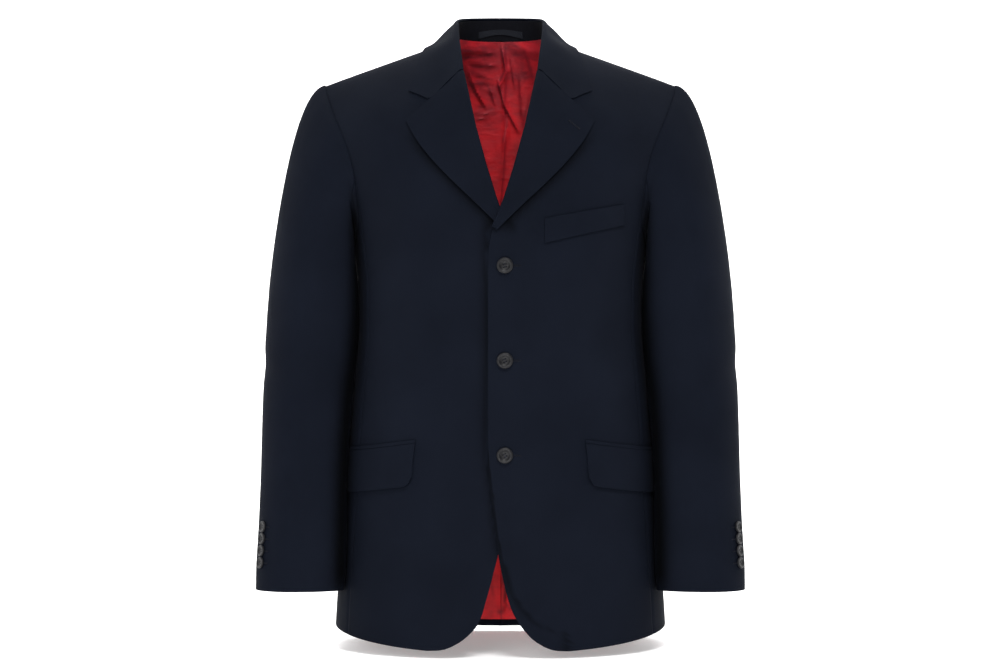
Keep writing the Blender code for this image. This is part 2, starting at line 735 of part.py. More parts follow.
def roll_place(side, along):
    """Place on the roll line, 0 at the gorge and 1 at the break, as x and z in its own half."""
    drop = GORGE_DROP + (BREAK_DROP - GORGE_DROP) * along
    drops = [d for d in ROW_DROPS if GORGE_DROP <= d <= BREAK_DROP]
    below = max(d for d in drops if d <= drop + 0.001)
    above = min([d for d in drops if d > below] or [below + 1])
    share = (drop - below) / (above - below)
    first, second = (trunk(turn_at(FRONT_EDGE[side](d), d), d) for d in (below, above))
    point = first.lerp(second, share)
    return point.x, point.z


def lapel_grid(side, lift):
    """Rows of a lapel from the gorge down, each from inside the roll to the outer edge."""
    rows = []
    for j in range(LAPEL_STEPS + 1):
        along = j / LAPEL_STEPS
        roll_x, roll_z = roll_place(side, along)
        edge_x, edge_z = LAPEL["x"](along), LAPEL["z"](along)
        radius = ROLL_RADIUS + lift
        row = []
        for angle in ROLL_ANGLES:
            shift = radius * math.cos(math.radians(angle))
            rise = ROLL_CENTRE + radius * math.sin(math.radians(angle))
            row.append(on_front(side, roll_x - shift, roll_z - shift * ROLL_DIP, rise))
        for share in LAPEL_ACROSS:
            x = roll_x + (edge_x - roll_x) * share
            z = roll_z + (edge_z - roll_z) * share
            rise = LAPEL_GAP + LAPEL_WALL + roll_soft(share) * (1.0 - along)
            row.append(on_front(side, x, z, rise + lift))
        rows.append(row)
    return rows


def build_lapels(cloths, collection):
    for side, word in ((LEFT, "left"), (RIGHT, "right")):
        outer = lapel_grid(side, 0.0)
        inner = lapel_grid(side, -LAPEL_WALL)
        gap = SEAM_GAP / 2.0
        cloth(f"lapel_{word}", draw_in(outer, ("top",), gap), draw_in(inner, ("top",), gap),
              cloths["body"], collection)


# ---- collar --------------------------------------------------------------------------------------


def mirrored(point, side):
    return Vector((side * point.x, point.y, point.z))


def collar_stations():
    """Base, fold, edge and directions at each station of the collar's half where x is positive."""
    stations = []
    lift = COLLAR_GAP + COLLAR_WALL
    for values in COLLAR_ROWS:
        row = dict(zip(COLLAR_COLUMNS, values))
        behind = row["face"] == "back"
        base = trunk(turn_at(row["base_x"], row["base_drop"], behind), row["base_drop"])
        fold = Vector((row["fold_x"], row["fold_y"], row["fold_z"]))
        if behind:
            edge = on_back(LEFT, row["edge_x"], row["edge_z"], lift + COLLAR_BACK_LIFT)
        else:
            edge = over_front(row["edge_x"], row["edge_z"], lift)
        stations.append({"face": row["face"], "base": base, "fold": fold, "edge": edge})
    last = len(stations) - 1
    for i, station in enumerate(stations):
        before = stations[i - 1]["fold"] if i else mirrored(stations[1]["fold"], RIGHT)
        after = stations[min(i + 1, last)]["fold"]
        along = (after - before).normalized()
        outward = station["edge"] - station["fold"]
        if station["face"] == "back":
            outward.z = 0.0
        outward = (outward - along * outward.dot(along)).normalized()
        upward = outward.cross(along).normalized()
        if upward.z < 0.0:
            upward = -upward
        station.update(along=along, outward=outward, upward=upward,
                       centre=station["fold"] - upward * FOLD_RADIUS)
    return stations


def over_front(x, z, lift):
    """Point over the front's form without the left front's lap, for pieces that match on both sides."""
    drop = drop_at(x, z)
    turn = turn_at(x, drop)
    return trunk(turn, drop) + trunk_normal(turn, drop) * lift


def roll_soft(share):
    """Extra height of a rolled piece near its fold, at a share of the lapel's width."""
    return LAPEL_ROLL_LIFT * (1.0 - ease(share / LAPEL_ROLL_REACH))


def fall_row(station, index):
    """Outer face of the collar's fall at a station, from inside the fold to the edge."""
    low, high = FOLD_FRONT_STATIONS
    forward = ease((index - low) / (high - low))
    row = []
    for back_angle, front_angle in zip(FOLD_ANGLES, FOLD_FRONT_ANGLES):
        turn = math.radians(back_angle + (front_angle - back_angle) * forward)
        row.append(station["centre"] + station["outward"] * (FOLD_RADIUS * math.cos(turn))
                   + station["upward"] * (FOLD_RADIUS * math.sin(turn)))
    fold, edge = station["fold"], station["edge"]
    lift = COLLAR_GAP + COLLAR_WALL
    if station["face"] == "front":
        proud = fold - over_front(fold.x, fold.z, lift)
    for share in FALL_ACROSS:
        point = fold.lerp(edge, share)
        if station["face"] == "front":
            point = over_front(point.x, point.z, lift) + proud * (1.0 - share) ** FALL_SETTLE
        else:
            point += station["upward"] * (FALL_BULGE * math.sin(math.pi * share))
        row.append(point)
    return row


def gorge_row():
    """Outer face of the collar's end, along the gorge seam to the notch and on to its tip."""
    end = dict(zip(COLLAR_COLUMNS, COLLAR_ROWS[-1]))
    fold_x, fold_z, edge_x, edge_z = end["fold_x"], end["fold_z"], end["edge_x"], end["edge_z"]
    lift = COLLAR_GAP + COLLAR_WALL
    row = []
    for angle in ROLL_ANGLES:
        shift = ROLL_RADIUS * math.cos(math.radians(angle))
        rise = ROLL_CENTRE + ROLL_RADIUS * math.sin(math.radians(angle))
        row.append(over_front(fold_x - shift, fold_z, rise))
    for share in FALL_ACROSS:
        if share <= NOTCH_SHARE:
            part = share / NOTCH_SHARE
            x, z = fold_x + (NOTCH_X - fold_x) * part, fold_z + (NOTCH_Z - fold_z) * part
        else:
            part = (share - NOTCH_SHARE) / (1.0 - NOTCH_SHARE)
            x, z = NOTCH_X + (edge_x - NOTCH_X) * part, NOTCH_Z + (edge_z - NOTCH_Z) * part
        row.append(over_front(x, z, lift + roll_soft(share)))
    return row


def both_halves(rows):
    """Rows of a half from the middle outward, as rows of the whole from one end to the other."""
    return [[mirrored(point, RIGHT) for point in row] for row in reversed(rows[1:])] + rows


def thickened(rows, wall, outside):
    """Inner points of a grid of outer points, the given wall behind them; outside is beyond its middle."""
    last_row, last_col = len(rows) - 1, len(rows[0]) - 1
    normals = []
    for r in range(last_row + 1):
        line = []
        for c in range(last_col + 1):
            down = rows[min(r + 1, last_row)][c] - rows[max(r - 1, 0)][c]
            across = rows[r][min(c + 1, last_col)] - rows[r][max(c - 1, 0)]
            line.append(down.cross(across).normalized())
        normals.append(line)
    middle = rows[last_row // 2][last_col // 2]
    sign = 1.0 if normals[last_row // 2][last_col // 2].dot(outside - middle) > 0.0 else -1.0
    return [[point - normal * (sign * wall) for point, normal in zip(row, line)]
            for row, line in zip(rows, normals)]


def stand_row(station):
    """Outer face of the collar's stand at a station, from the neck seam up to the fold."""
    top = (station["centre"] - station["outward"] * (FOLD_RADIUS - COLLAR_WALL)
           - station["upward"] * STAND_TOP_GAP)
    rise = (top - station["base"]).normalized()
    bottom = station["base"] + rise * STAND_BASE_GAP
    return [bottom.lerp(top, share) for share in STAND_SHARES]


def build_collar(cloths, collection):
    stations = collar_stations()
    half = [fall_row(station, i) for i, station in enumerate(stations[:-1])]
    fall = both_halves(half + [gorge_row()])
    behind = Vector((0.0, BEYOND, BEYOND))
    gap = SEAM_GAP / 2.0
    inner = thickened(fall, COLLAR_WALL, behind)
    cloth("collar_fall", draw_in(fall, ("top", "bottom"), gap), draw_in(inner, ("top", "bottom"), gap),
          cloths["body"], collection)
    stand = both_halves([stand_row(station) for station in stations[:STAND_LAST + 1]])
    stand_inner = thickened(stand, WALL, behind)
    cloth("collar_stand", stand, stand_inner, cloths["trim"], collection)
    build_loop(stand_inner, cloths, collection)


def build_loop(stand_inner, cloths, collection):
    """The strip sewn along the inside of the stand, to hang the garment by."""
    middle = len(stand_inner) // 2
    rows = []
    for place in LOOP_STATIONS:
        low = min(math.floor(place), len(stand_inner) - 2 - middle)
        first, second = stand_inner[middle + low], stand_inner[middle + low + 1]
        bottom = first[0].lerp(second[0], place - low)
        top = first[-1].lerp(second[-1], place - low)
        rows.append([bottom.lerp(top, share) for share in LOOP_SHARES])
    ahead = Vector((0.0, -BEYOND, 0.0))
    outer = thickened(rows, -(LOOP_GAP + LOOP_WALL), ahead)
    inner = thickened(rows, -LOOP_GAP, ahead)
    cloth("hanger_loop", outer, inner, cloths["trim"], collection)


# ---- lining --------------------------------------------------------------------------------------


def lining_grid(extra):
    """Points of the back's lining, which follows the back and hangs a little clear of it."""
    rows = []
    for drop in LINING_DROPS:
        end = outer_turn(drop, True)
        low = ease((drop - HEM_START) / (LINING_DROPS[-1] - HEM_START))
        down = ease(drop / LINING_FULL_DROP) * (1.0 - low)
        half = []
        for share in LINING_FRACTIONS:
            turn = 180.0 + (end - 180.0) * share
            slack = LINING_SLACK * math.sin(math.pi * share) * down
            slack += LINING_PLEAT * math.exp(-(share / LINING_PLEAT_REACH) ** 2) * down
            depth = WALL + LINING_GAP + slack + extra
            half.append(panel_point(LEFT, turn, back_drop(drop, turn), -depth))
        rows.append([mirrored(point, RIGHT) for point in reversed(half[1:])] + half)
    return rows


def build_lining(cloths, collection):
    cloth("back_lining", lining_grid(0.0), lining_grid(LINING_WALL), cloths["lining"], collection)


# ---- pockets -------------------------------------------------------------------------------------


def turns_along(start, drop, distances):
    """Turns that lie the given distances along a level line of the trunk's form."""
    turns = []
    turn, walked = start, 0.0
    for distance in distances:
        while walked < distance:
            length = (trunk(turn + WALK_STEP, drop) - trunk(turn, drop)).length
            part = min(1.0, (distance - walked) / length)
            turn += WALK_STEP * part
            walked += length * part
        turns.append(turn)
    return turns


def flap_height(distance):
    """Height of a flap at a distance from its front end, with both lower corners rounded."""
    inset = min(distance, FLAP_LENGTH - distance, FLAP_CORNER)
    return FLAP_HEIGHT - FLAP_CORNER + math.sqrt(FLAP_CORNER**2 - (FLAP_CORNER - inset) ** 2)


def pocket_drop(distance):
    """Drop of a hip pocket's mouth at a distance from its front end."""
    return FLAP_TOP + FLAP_SLANT * math.sin(math.pi / 2.0 * distance / FLAP_LENGTH)


def flap_grid(side, lift):
    turns = turns_along(turn_at(FLAP_START_X, FLAP_TOP), FLAP_TOP, FLAP_DISTANCES)
    degree = (turns[-1] - turns[0]) / FLAP_LENGTH
    rows = []
    for j in range(FLAP_DEPTH_STEPS + 1):
        share = j / FLAP_DEPTH_STEPS
        row = []
        for turn, distance in zip(turns, FLAP_DISTANCES):
            ahead = 1.0 - distance / FLAP_LENGTH
            drop = pocket_drop(distance) + flap_height(distance) * share
            row.append(panel_point(side, turn + FLAP_LEAN * degree * share * ahead, drop,
                                   lift + FLAP_FLARE * share * ahead))
        rows.append(row)
    return rows


def jet_grid(side, lift):
    turns = turns_along(turn_at(FLAP_START_X, FLAP_TOP), FLAP_TOP, FLAP_DISTANCES)
    rows = []
    for height in (JET_HEIGHT + JET_GAP, JET_GAP):
        row = []
        for turn, distance in zip(turns, FLAP_DISTANCES):
            row.append(panel_point(side, turn, pocket_drop(distance) - height, lift))
        rows.append(row)
    return rows


def welt_grid(side, lift):
    rows = []
    for j in range(WELT_DEPTH_STEPS + 1):
        down = j / WELT_DEPTH_STEPS
        row = []
        for i in range(WELT_STEPS + 1):
            share = i / WELT_STEPS
            x = WELT_X[0] + (WELT_X[1] - WELT_X[0]) * share
            top = WELT_TOP[0] + (WELT_TOP[1] - WELT_TOP[0]) * share
            bottom = WELT_BOTTOM[0] + (WELT_BOTTOM[1] - WELT_BOTTOM[0]) * share
            row.append(on_front(side, x, top + (bottom - top) * down, lift))
        rows.append(row)
    return rows


def laid(name, grid, side, wall, cloths, collection):
    """A piece that lies on a panel, a small gap off it."""
    cloth(name, grid(side, POCKET_GAP + wall), grid(side, POCKET_GAP), cloths["body"], collection)


def build_pockets(cloths, collection):
    for side, word in ((LEFT, "left"), (RIGHT, "right")):
        laid(f"pocket_flap_{word}", flap_grid, side, FLAP_WALL, cloths, collection)
        laid(f"pocket_jet_{word}", jet_grid, side, JET_WALL, cloths, collection)
    laid("breast_welt", welt_grid, LEFT, WELT_WALL, cloths, collection)


# ---- buttons -------------------------------------------------------------------------------------


def build_button(name, place, normal, radius, wall, sides, cloths, collection):
    """A turned button with a raised rim, its back at the place given."""
    mesh = bpy.data.meshes.new(name)
    bm = bmesh.new()
    verts = [bm.verts.new((share * radius * MM, 0.0, height * wall * MM))
             for share, height in BUTTON_PROFILE]
    for first, second in zip(verts, verts[1:]):
        bm.edges.new((first, second))
    bm.to_mesh(mesh)
    bm.free()
    mesh.materials.append(cloths["button"])
    piece = bpy.data.objects.new(name, mesh)
    collection.objects.link(piece)
    piece.location = place * MM
    piece.rotation_euler = normal.to_track_quat("Z", "Y").to_euler()
    screw = piece.modifiers.new("turned", "SCREW")
    screw.steps = sides
    screw.render_steps = sides
    screw.use_merge_vertices = True
    screw.merge_threshold = 0.00001
    screw.use_smooth_shade = True
    return piece


def facing(right, left, upper, lower):
    """Outward direction of a form from four points on it about a place."""
    return (right - left).cross(upper - lower).normalized()


def build_front_buttons(cloths, collection):
    for i, drop in enumerate(FRONT_BUTTON_DROPS, 1):
        place, right, left, upper, lower = [
            on_front(LEFT, FRONT_BUTTON_X + x, z - drop, LAY_GAP) for x, z in AROUND_BUTTON]
        build_button(f"front_button_{i}", place, facing(right, left, upper, lower), FRONT_BUTTON_RADIUS,
                     FRONT_BUTTON_WALL, FRONT_BUTTON_SIDES, cloths, collection)


def build_cuff_buttons(cloths, collection):
    for side, word in ((LEFT, "left"), (RIGHT, "right")):
        for i, level in enumerate(CUFF_BUTTON_LEVELS, 1):
            place, right, left, upper, lower = [
                sleeve_section(CUFF_BUTTON_ANGLE - x, level + z) for x, z in AROUND_BUTTON]
            normal = facing(right, left, upper, lower)
            build_button(f"cuff_button_{word}_{i}", mirrored(place + normal * LAY_GAP, side),
                         mirrored(normal, side), CUFF_BUTTON_RADIUS, CUFF_BUTTON_WALL, CUFF_BUTTON_SIDES,
                         cloths, collection)


# ---- build ---------------------------------------------------------------------------------------


def clear_scene():
    for item in list(bpy.data.objects):
        bpy.data.objects.remove(item, do_unlink=True)


def main():
    clear_scene()
    collection = bpy.data.collections.new("blazer")
    bpy.context.scene.collection.children.link(collection)
    cloths = {
        "body": finish("navy_cloth", BODY_COLOUR, 0.85),
        "trim": finish("dark_trim", TRIM_COLOUR, 0.8),
        "lining": finish("red_lining", LINING_COLOUR, 0.4),
        "button": finish("dark_button", BUTTON_COLOUR, 0.35),
    }
    build_trunk(cloths, collection)
    build_sleeves(cloths, collection)
    build_lapels(cloths, collection)
    build_collar(cloths, collection)
    build_lining(cloths, collection)
    build_pockets(cloths, collection)
    build_front_buttons(cloths, collection)
    build_cuff_buttons(cloths, collection)


main()
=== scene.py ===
"""Single-breasted blazer in its worn, hollow form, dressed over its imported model.

The front faces -Y, the wearer's left is +X, and the origin lies between the shoulders at neck level.
The form is worked out in millimetres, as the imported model's is, and becomes metres where meshes are made.
"""

import bisect
import math

import bmesh
import bpy
from mathutils import Matrix, Vector


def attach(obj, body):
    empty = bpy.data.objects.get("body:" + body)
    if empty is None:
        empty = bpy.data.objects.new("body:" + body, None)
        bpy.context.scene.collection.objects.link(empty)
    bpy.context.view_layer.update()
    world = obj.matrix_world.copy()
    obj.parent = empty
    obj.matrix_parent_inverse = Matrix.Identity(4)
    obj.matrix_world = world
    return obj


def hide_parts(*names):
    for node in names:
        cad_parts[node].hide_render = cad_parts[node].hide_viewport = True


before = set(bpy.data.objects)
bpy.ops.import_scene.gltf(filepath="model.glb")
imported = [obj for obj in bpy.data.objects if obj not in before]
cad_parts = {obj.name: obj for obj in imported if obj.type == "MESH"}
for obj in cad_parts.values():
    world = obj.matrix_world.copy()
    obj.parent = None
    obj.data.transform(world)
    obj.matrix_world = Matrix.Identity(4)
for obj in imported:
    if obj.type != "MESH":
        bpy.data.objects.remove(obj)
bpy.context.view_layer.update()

bl_info = {
    "name": "Blazer",
    "version": (1, 0, 0),
    "blender": (4, 5, 0),
    "location": "3D View > Sidebar > Blazer",
    "description": "Dresses the packed blazer in fine wool, satin lining and sewn buttons",
    "category": "Object",
}

MM = 0.001
BODY = "root"
LEFT = 1
RIGHT = -1
WORDS = {LEFT: "left", RIGHT: "right"}

# ---- sizes of the form, in millimetres ----

WALL = 1.6
LINING_WALL = 1.0
LAPEL_WALL = 2.0
LAPEL_GAP = 0.9
LAY_GAP = 0.5
SEAM_SINK = 0.9
SEAM_REACH = 1.7
SEAM_FADE = 3.0
SEAM_OVERLAP = 0.5
GORGE_SINK_SHARE = 0.15
EDGE_STEPS = (0.5, 1.1, 1.9, 3.2, 5.0)
SOFT_EDGE = 0.45
ROLLED_EDGE = 0.6
POCKET_EDGE = 0.5
TAPE_EDGE = 0.3
SATIN_EDGE = 0.2
SOFT_EDGE_ANGLE = 48.0
LEAST_SIDE = 0.01
# Points far beyond the garment, to tell a sheet's outer face
FORWARD = (0.0, -500.0, 0.0)
FORWARD_BELOW = (0.0, -500.0, -500.0)
BEHIND = (0.0, 500.0, 0.0)
BEHIND_ABOVE = (0.0, 500.0, 500.0)
TINY = 0.001

SHOULDER_Y = 8.0
SECTION_POWER = 2.4
NECK_HALF_WIDTH = 70.0
SHOULDER_TOP = 34.6
SHOULDER_SLOPE = 0.3565
SHOULDER_SOFTNESS = 15.0
NAPE_RISE = 45.0
NAPE_POWER = 1.2
HEM_SIDE = 733.0
HEM_SAG = 21.5
HEM_POWER = 1.4
HEM_START = 600.0
HEM_DROP = 757.0
NORMAL_STEP = 0.6
SEARCH_MARGIN = 40.0
SEARCH_STEPS = 26

TRUNK_COLUMNS = ("drop", "half_width", "front_depth", "back_depth", "slope_share")
TRUNK_ROWS = (
    (0, 226, 0, 0, 1.00),
    (4, 228, 20, 22, 1.00),
    (12, 231, 38, 40, 1.00),
    (28, 234, 60, 64, 0.98),
    (52, 234, 83, 87, 0.93),
    (80, 229, 104, 105, 0.82),
    (120, 218, 125, 118, 0.62),
    (165, 204, 140, 126, 0.35),
    (205, 194, 148, 129, 0.14),
    (258, 186.5, 153, 129, 0.02),
    (300, 182, 154, 127, 0.0),
    (350, 181.5, 153, 123, 0.0),
    (400, 185.5, 152, 120, 0.0),
    (450, 190.5, 152, 121, 0.0),
    (500, 194.5, 154, 125, 0.0),
    (560, 198.5, 157, 130, 0.0),
    (620, 203, 160, 134, 0.0),
    (680, 207.5, 162, 137, 0.0),
    (757, 212, 164, 139, 0.0),
)
ROLL_DROPS = (52, 80, 120, 165, 205, 236)
GORGE_DROP = 52
BREAK_DROP = 236
ARMHOLE_DROP = 205
ARMPIT_DROP = 258
UNDERARM_FADE = 150.0
PANEL_STEP = 7.5
PANEL_KEEP = (4, 12, 28, *ROLL_DROPS, HEM_START, 736, 744, 750, 753.5, 755.5, 756.5)
TOP_DROPS = (0.0, 0.7, 1.6, 2.8)
SIDE_TOP_DROPS = (0.0, 0.8, 2.0)
PANEL_ACROSS_STEP = 5.5
NARROWEST_ROW = 30.0
NECK_FADE = 150.0

ARMHOLE_COLUMNS = ("drop", "front_x", "back_x")
ARMHOLE_ROWS = (
    (0, 224.5, 224.5),
    (4, 224.3, 224.6),
    (12, 223.0, 223.6),
    (28, 218.0, 220.0),
    (52, 210.5, 214.5),
    (80, 201.5, 207.0),
    (120, 190.0, 198.0),
    (165, 182.3, 191.0),
    (205, 179.0, 187.0),
)
SEAM_COLUMNS = ("drop", "front_turn", "back_turn")
SEAM_ROWS = (
    (205, 67.33, 105.44),
    (310, 66.0, 108.0),
    (400, 65.0, 110.0),
    (550, 65.0, 112.0),
    (757, 65.0, 113.0),
)

# Columns: drop, edge_x
ROLL_EDGE = (
    (0, 70), (4, 69), (12, 66.5), (28, 59.5), (52, 47.5), (80, 41.5), (120, 32.5), (165, 19.3), (205, 5.5),
)
LEFT_EDGE = ROLL_EDGE + (
    (236, -8.5), (268, -14.5), (310, -15), (519, -15), (555, -12.5), (592, -7.5), (635, -2.4),
    (672, 5), (702, 13.5), (724, 26), (740, 40), (750, 54.5), (755, 67), (757, 84),
)
RIGHT_EDGE = ROLL_EDGE + (
    (236, -7), (268, -15), (310, -18), (520, -18), (560, -14), (600, -6), (633, 2.4),
    (664, 10), (690, 17), (715, 24.5), (726, 31), (741, 46), (750, 60), (755, 73), (757, 90),
)
# Columns: x, drop
BACK_NECK = ((0, 44), (28, 40), (45, 30), (58, 18), (66, 6.5), (70, 0))

LAP_LIFT = 2.5
LAP_INNER_X = 26.0
LAP_OUTER_X = 48.0
CROSS_LIFT = 4.4
CROSS_DROP = 226.0
CROSS_REACH = 42.0

LAPEL_COLUMNS = ("along", "x", "z")
LAPEL_EDGE = (
    (0.0, 117, -100), (0.2, 103, -125), (0.4, 81, -153), (0.6, 55, -180), (0.8, 26, -208), (1.0, -4, -238),
)
LAPEL_STEPS = 22
LAPEL_REFINE = (2, 4)
LAPEL_ACROSS = (0.05, 0.14, 0.3, 0.52, 0.76, 1.0)
LAPEL_ROLL_LIFT = 2.2
LAPEL_ROLL_REACH = 0.35
ROLL_RADIUS = 2.6
ROLL_CENTRE = 1.25
ROLL_ANGLES = (-50, 0, 50)
ROLL_DIP = 0.3

COLLAR_COLUMNS = ("face", "base_x", "base_drop", "fold_x", "fold_y", "fold_z", "edge_x", "edge_z")
COLLAR_ROWS = (
    ("back", 0, 44, 0, 86, 51, 0, 0),
    ("back", 14, 43, 13.5, 84.5, 50.8, 15, -0.3),
    ("back", 28, 40, 27, 81, 50.2, 30, -1),
    ("back", 45, 30, 42, 69, 48.4, 52, -4.5),
    ("back", 58, 18, 51.5, 52, 45.6, 68, -7),
    ("back", 62.5, 12, 54, 43, 43.8, 75, -5.6),
    ("back", 66, 6.5, 56, 34, 41.4, 81, -4),
    ("back", 69, 2, 57, 21, 37.8, 88, -0.6),
    ("front", 69.4, 2, 57, 6, 32.6, 93, 0.2),
    ("front", 67.5, 9, 56.3, -12, 23.8, 97, -9),
    ("front", 63.5, 20, 55, -33, 10, 101.5, -22),
    ("front", 56.5, 34, 51.8, -57, -12, 107, -40),
    ("front", 47.5, 52, 48.2, -78.3, -35.3, 114, -61),
)
NOTCH_X = 87.5
NOTCH_Z = -72.0
COLLAR_WALL = 1.8
COLLAR_GAP = 1.3
FALL_LIFT = COLLAR_GAP + COLLAR_WALL
COLLAR_BACK_LIFT = 1.0
FOLD_RADIUS = 2.6
FOLD_ANGLES = (172.0, 130.0, 75.0)
FOLD_FRONT_ANGLES = (230.0, 180.0, 130.0)
FOLD_FRONT_STATIONS = (9.0, 12.0)
NOTCH_SHARE = 0.56
FALL_ACROSS = (0.14, 0.34, 0.56, 0.78, 1.0)
FALL_BULGE = 3.0
FALL_SETTLE = 1.6
FALL_REFINE = (6, 4)
STAND_REFINE = (6, 6)
STAND_SHARES = (0.0, 0.5, 1.0)
STAND_TOP_GAP = 1.3
STAND_LAST = 10
STAND_BASE_GAP = 0.7
LOOP_STATIONS = (-2.18, -2.0, -1.0, 0.0, 1.0, 2.0, 2.18)
LOOP_SHARES = (0.32, 0.58)
LOOP_WALL = 1.0
LOOP_GAP = 0.4

SLEEVE_COLUMNS = ("z", "centre_x", "half_width", "centre_y", "half_depth", "hind", "fore", "clear")
SLEEVE_ROWS = (
    (-276, 235.5, 57.5, 4, 73, -82, 150, 5.0),
    (-310, 237.5, 59.0, 3, 71, -72, 152, 3.0),
    (-350, 240.7, 59.0, 1, 67, -60, 155, 1.8),
    (-400, 244.7, 56.7, -4, 63, -47, 158, 1.6),
    (-450, 246.8, 56.0, -12, 59, -36, 163, 2.2),
    (-500, 249.2, 54.4, -20, 55, -26, 168, 4.4),
    (-550, 250.8, 53.4, -28, 51, -16, 172, 5.8),
    (-600, 252.4, 53.2, -37, 48, -7, 177, 4.0),
    (-650, 255.0, 53.0, -46, 45, 2, 182, 2.2),
    (-685.5, 258.0, 50.0, -52, 42.5, 8, 184, 2.2),
)
# Shade kept on the wool: in the hollow beside a sleeve, under a lapel's edge and beside the lap
# Columns: z, x
ARM_HOLLOW = (
    (-700, 199), (-641, 199), (-577, 198), (-513, 196), (-449, 192), (-385, 184), (-321, 181), (-257, 182),
    (-193, 184), (-129, 197), (-60, 205),
)
ARM_SHADE = 0.93
ARM_SHADE_REACH = (6.5, 11.5)
ARM_SHADE_TOP = -160.0
ARM_SHADE_FADE = 75.0
ARM_SHADE_SPREAD = 240.0
ARM_SHADE_END = 22.0
LAPEL_SHADE = 0.75
LAPEL_SHADE_REACH = 7.5
LAPEL_SHADE_UNDER = 15.0
LAPEL_SHADE_BELOW = 12.0
LAPEL_SHADE_FOOT = (8.0, 20.0)
LAPEL_SHADE_HEAD = 40.0
LAPEL_SLANT = 0.72
LAP_SHADE = 0.6
LAP_SHADE_REACH = 8.0
LAP_SHADE_RISE = 10.0
LAP_SHADE_START = 0.05
SLEEVE_TOP = -276.0
SLEEVE_CUFF = -685.5
SLEEVE_LEVEL_STEP = 11.0
CAP_STEPS = 22
CAP_FIRST_SHARES = (0.0, 0.008, 0.02)
CAP_LEAVE_OUT = 0.33
CAP_LEAVE_SPREAD = 0.12
CAP_LEAVE_AHEAD = 0.18
CAP_LEAVE_DOWN = 0.30
CAP_LEAVE_ROUND = 0.26
CAP_ARRIVE_OUT = 0.055
SLEEVE_INNER_SHARE = 1.34
SLEEVE_SOFTNESS = 1.5
ARMHOLE_CLEARANCE = 1.0
ARMHOLE_LIFT = 0.35
ARMHOLE_STEP = 0.2
ARMHOLE_DROP_STEP = 7.0
ARMHOLE_KEEP = (1.5, 4, 8, 12, 20, 28)
ARMHOLE_UNDER_STEPS = 12
TUCK_DEPTH = 0.5
TUCK_REACH = 3.0
EVEN_SPREAD = 120.0
HIND_DROP = 120.0
FORE_DROP = 165.0
UNDERARM_STEPS = 10
SEAM_COLUMN_STEPS = (0.8, 1.8)
SEAM_COLUMN_SHARE = 0.9

CREASE_COLUMNS = ("angle", "z", "half_turn", "half_height", "lean", "depth")
CREASES = (
    (60, -338, 70, 13, 0.35, 2.4),
    (30, -412, 60, 15, -0.30, 2.2),
    (75, -468, 55, 14, 0.40, 1.8),
    (205, -398, 60, 13, 0.25, 2.6),
    (235, -452, 55, 15, -0.35, 2.2),
    (290, -350, 60, 16, 0.30, 2.4),
)

# Soft drapes of the trunk, as shallow troughs
DRAPE_COLUMNS = ("face", "x", "z", "half_across", "half_along", "lean", "depth")
DRAPES = (
    ("front", 150, -205, 15, 62, -22, 1.5),
    ("front", 128, -330, 17, 80, 8, 0.9),
    ("front", 62, -350, 14, 70, -14, 0.7),
    ("front", 78, -560, 20, 110, 5, 1.0),
    ("front", 34, -640, 16, 80, -9, 0.8),
    ("back", 138, -190, 15, 70, 16, 1.7),
    ("back", 96, -300, 16, 80, 9, 1.1),
    ("back", 52, -385, 12, 60, -24, 1.0),
    ("back", 122, -420, 14, 70, 20, 0.9),
    ("back", 70, -600, 20, 120, 4, 1.3),
    ("back", 150, -640, 18, 100, -3, 1.0),
)
DRAPE_END = 6.0
RIGHT_DRAPE_SHARE = 0.75
RIGHT_DRAPE_SHIFT = 9.0

# Darts of the fronts: a pressed line from the chest to the hip pocket
DART_X = 118.5
DART_TOP = -262.0
DART_BOTTOM = -500.0
DART_SINK = 0.9
DART_REACH = 1.5
DART_END = 4.0
DART_FADE = 30.0

FLAP_START_X = 104.0
FLAP_TOP = 499.0
FLAP_LENGTH = 152.0
FLAP_HEIGHT = 52.0
FLAP_SLANT = 13.0
FLAP_CORNER = 9.0
FLAP_CORNER_STEPS = 9
FLAP_LEAN = 4.0
FLAP_FLARE = 1.2
FLAP_WALL = 1.8
POCKET_GAP = 1.0
WALK_STEP = 0.25
FLAP_STEP = 6.0
FLAP_DEPTH_STEPS = 12
JET_HEIGHT = 4.5
JET_GAP = 0.4
JET_WALL = 1.2
JET_SHARES = (1.0, 0.75, 0.5, 0.25, 0.0)
JET_SWELL = 0.5
WELT_X = (54.0, 153.5)
WELT_TOP = (-223.0, -203.5)
WELT_BOTTOM = (-253.5, -229.5)
WELT_STEPS = 34
WELT_DEPTH_STEPS = 9
WELT_WALL = 1.6

FRONT_BUTTON_WALL = 3.6
FRONT_BUTTON_X = 5.5
FRONT_BUTTON_DROPS = (281.0, 397.0, 513.0)
CUFF_BUTTON_WALL = 2.8
CUFF_BUTTON_ANGLE = 33.0
CUFF_BUTTON_LEVELS = (-606.5, -621.3, -636.1, -650.9)
# A place on a form and the four about it that give its facing. Columns: across, up
BUTTON_CROSS = ((0, 0), (4.0, 0), (-4.0, 0), (0, 4.0), (0, -4.0))
FRONT_BUTTON_TURN = 12.0
CUFF_BUTTON_TURN = 9.0
BUTTON_SIDES = 56
BUTTON_MERGE = 0.000005
BUTTON_SHARP_ANGLE = 40.0
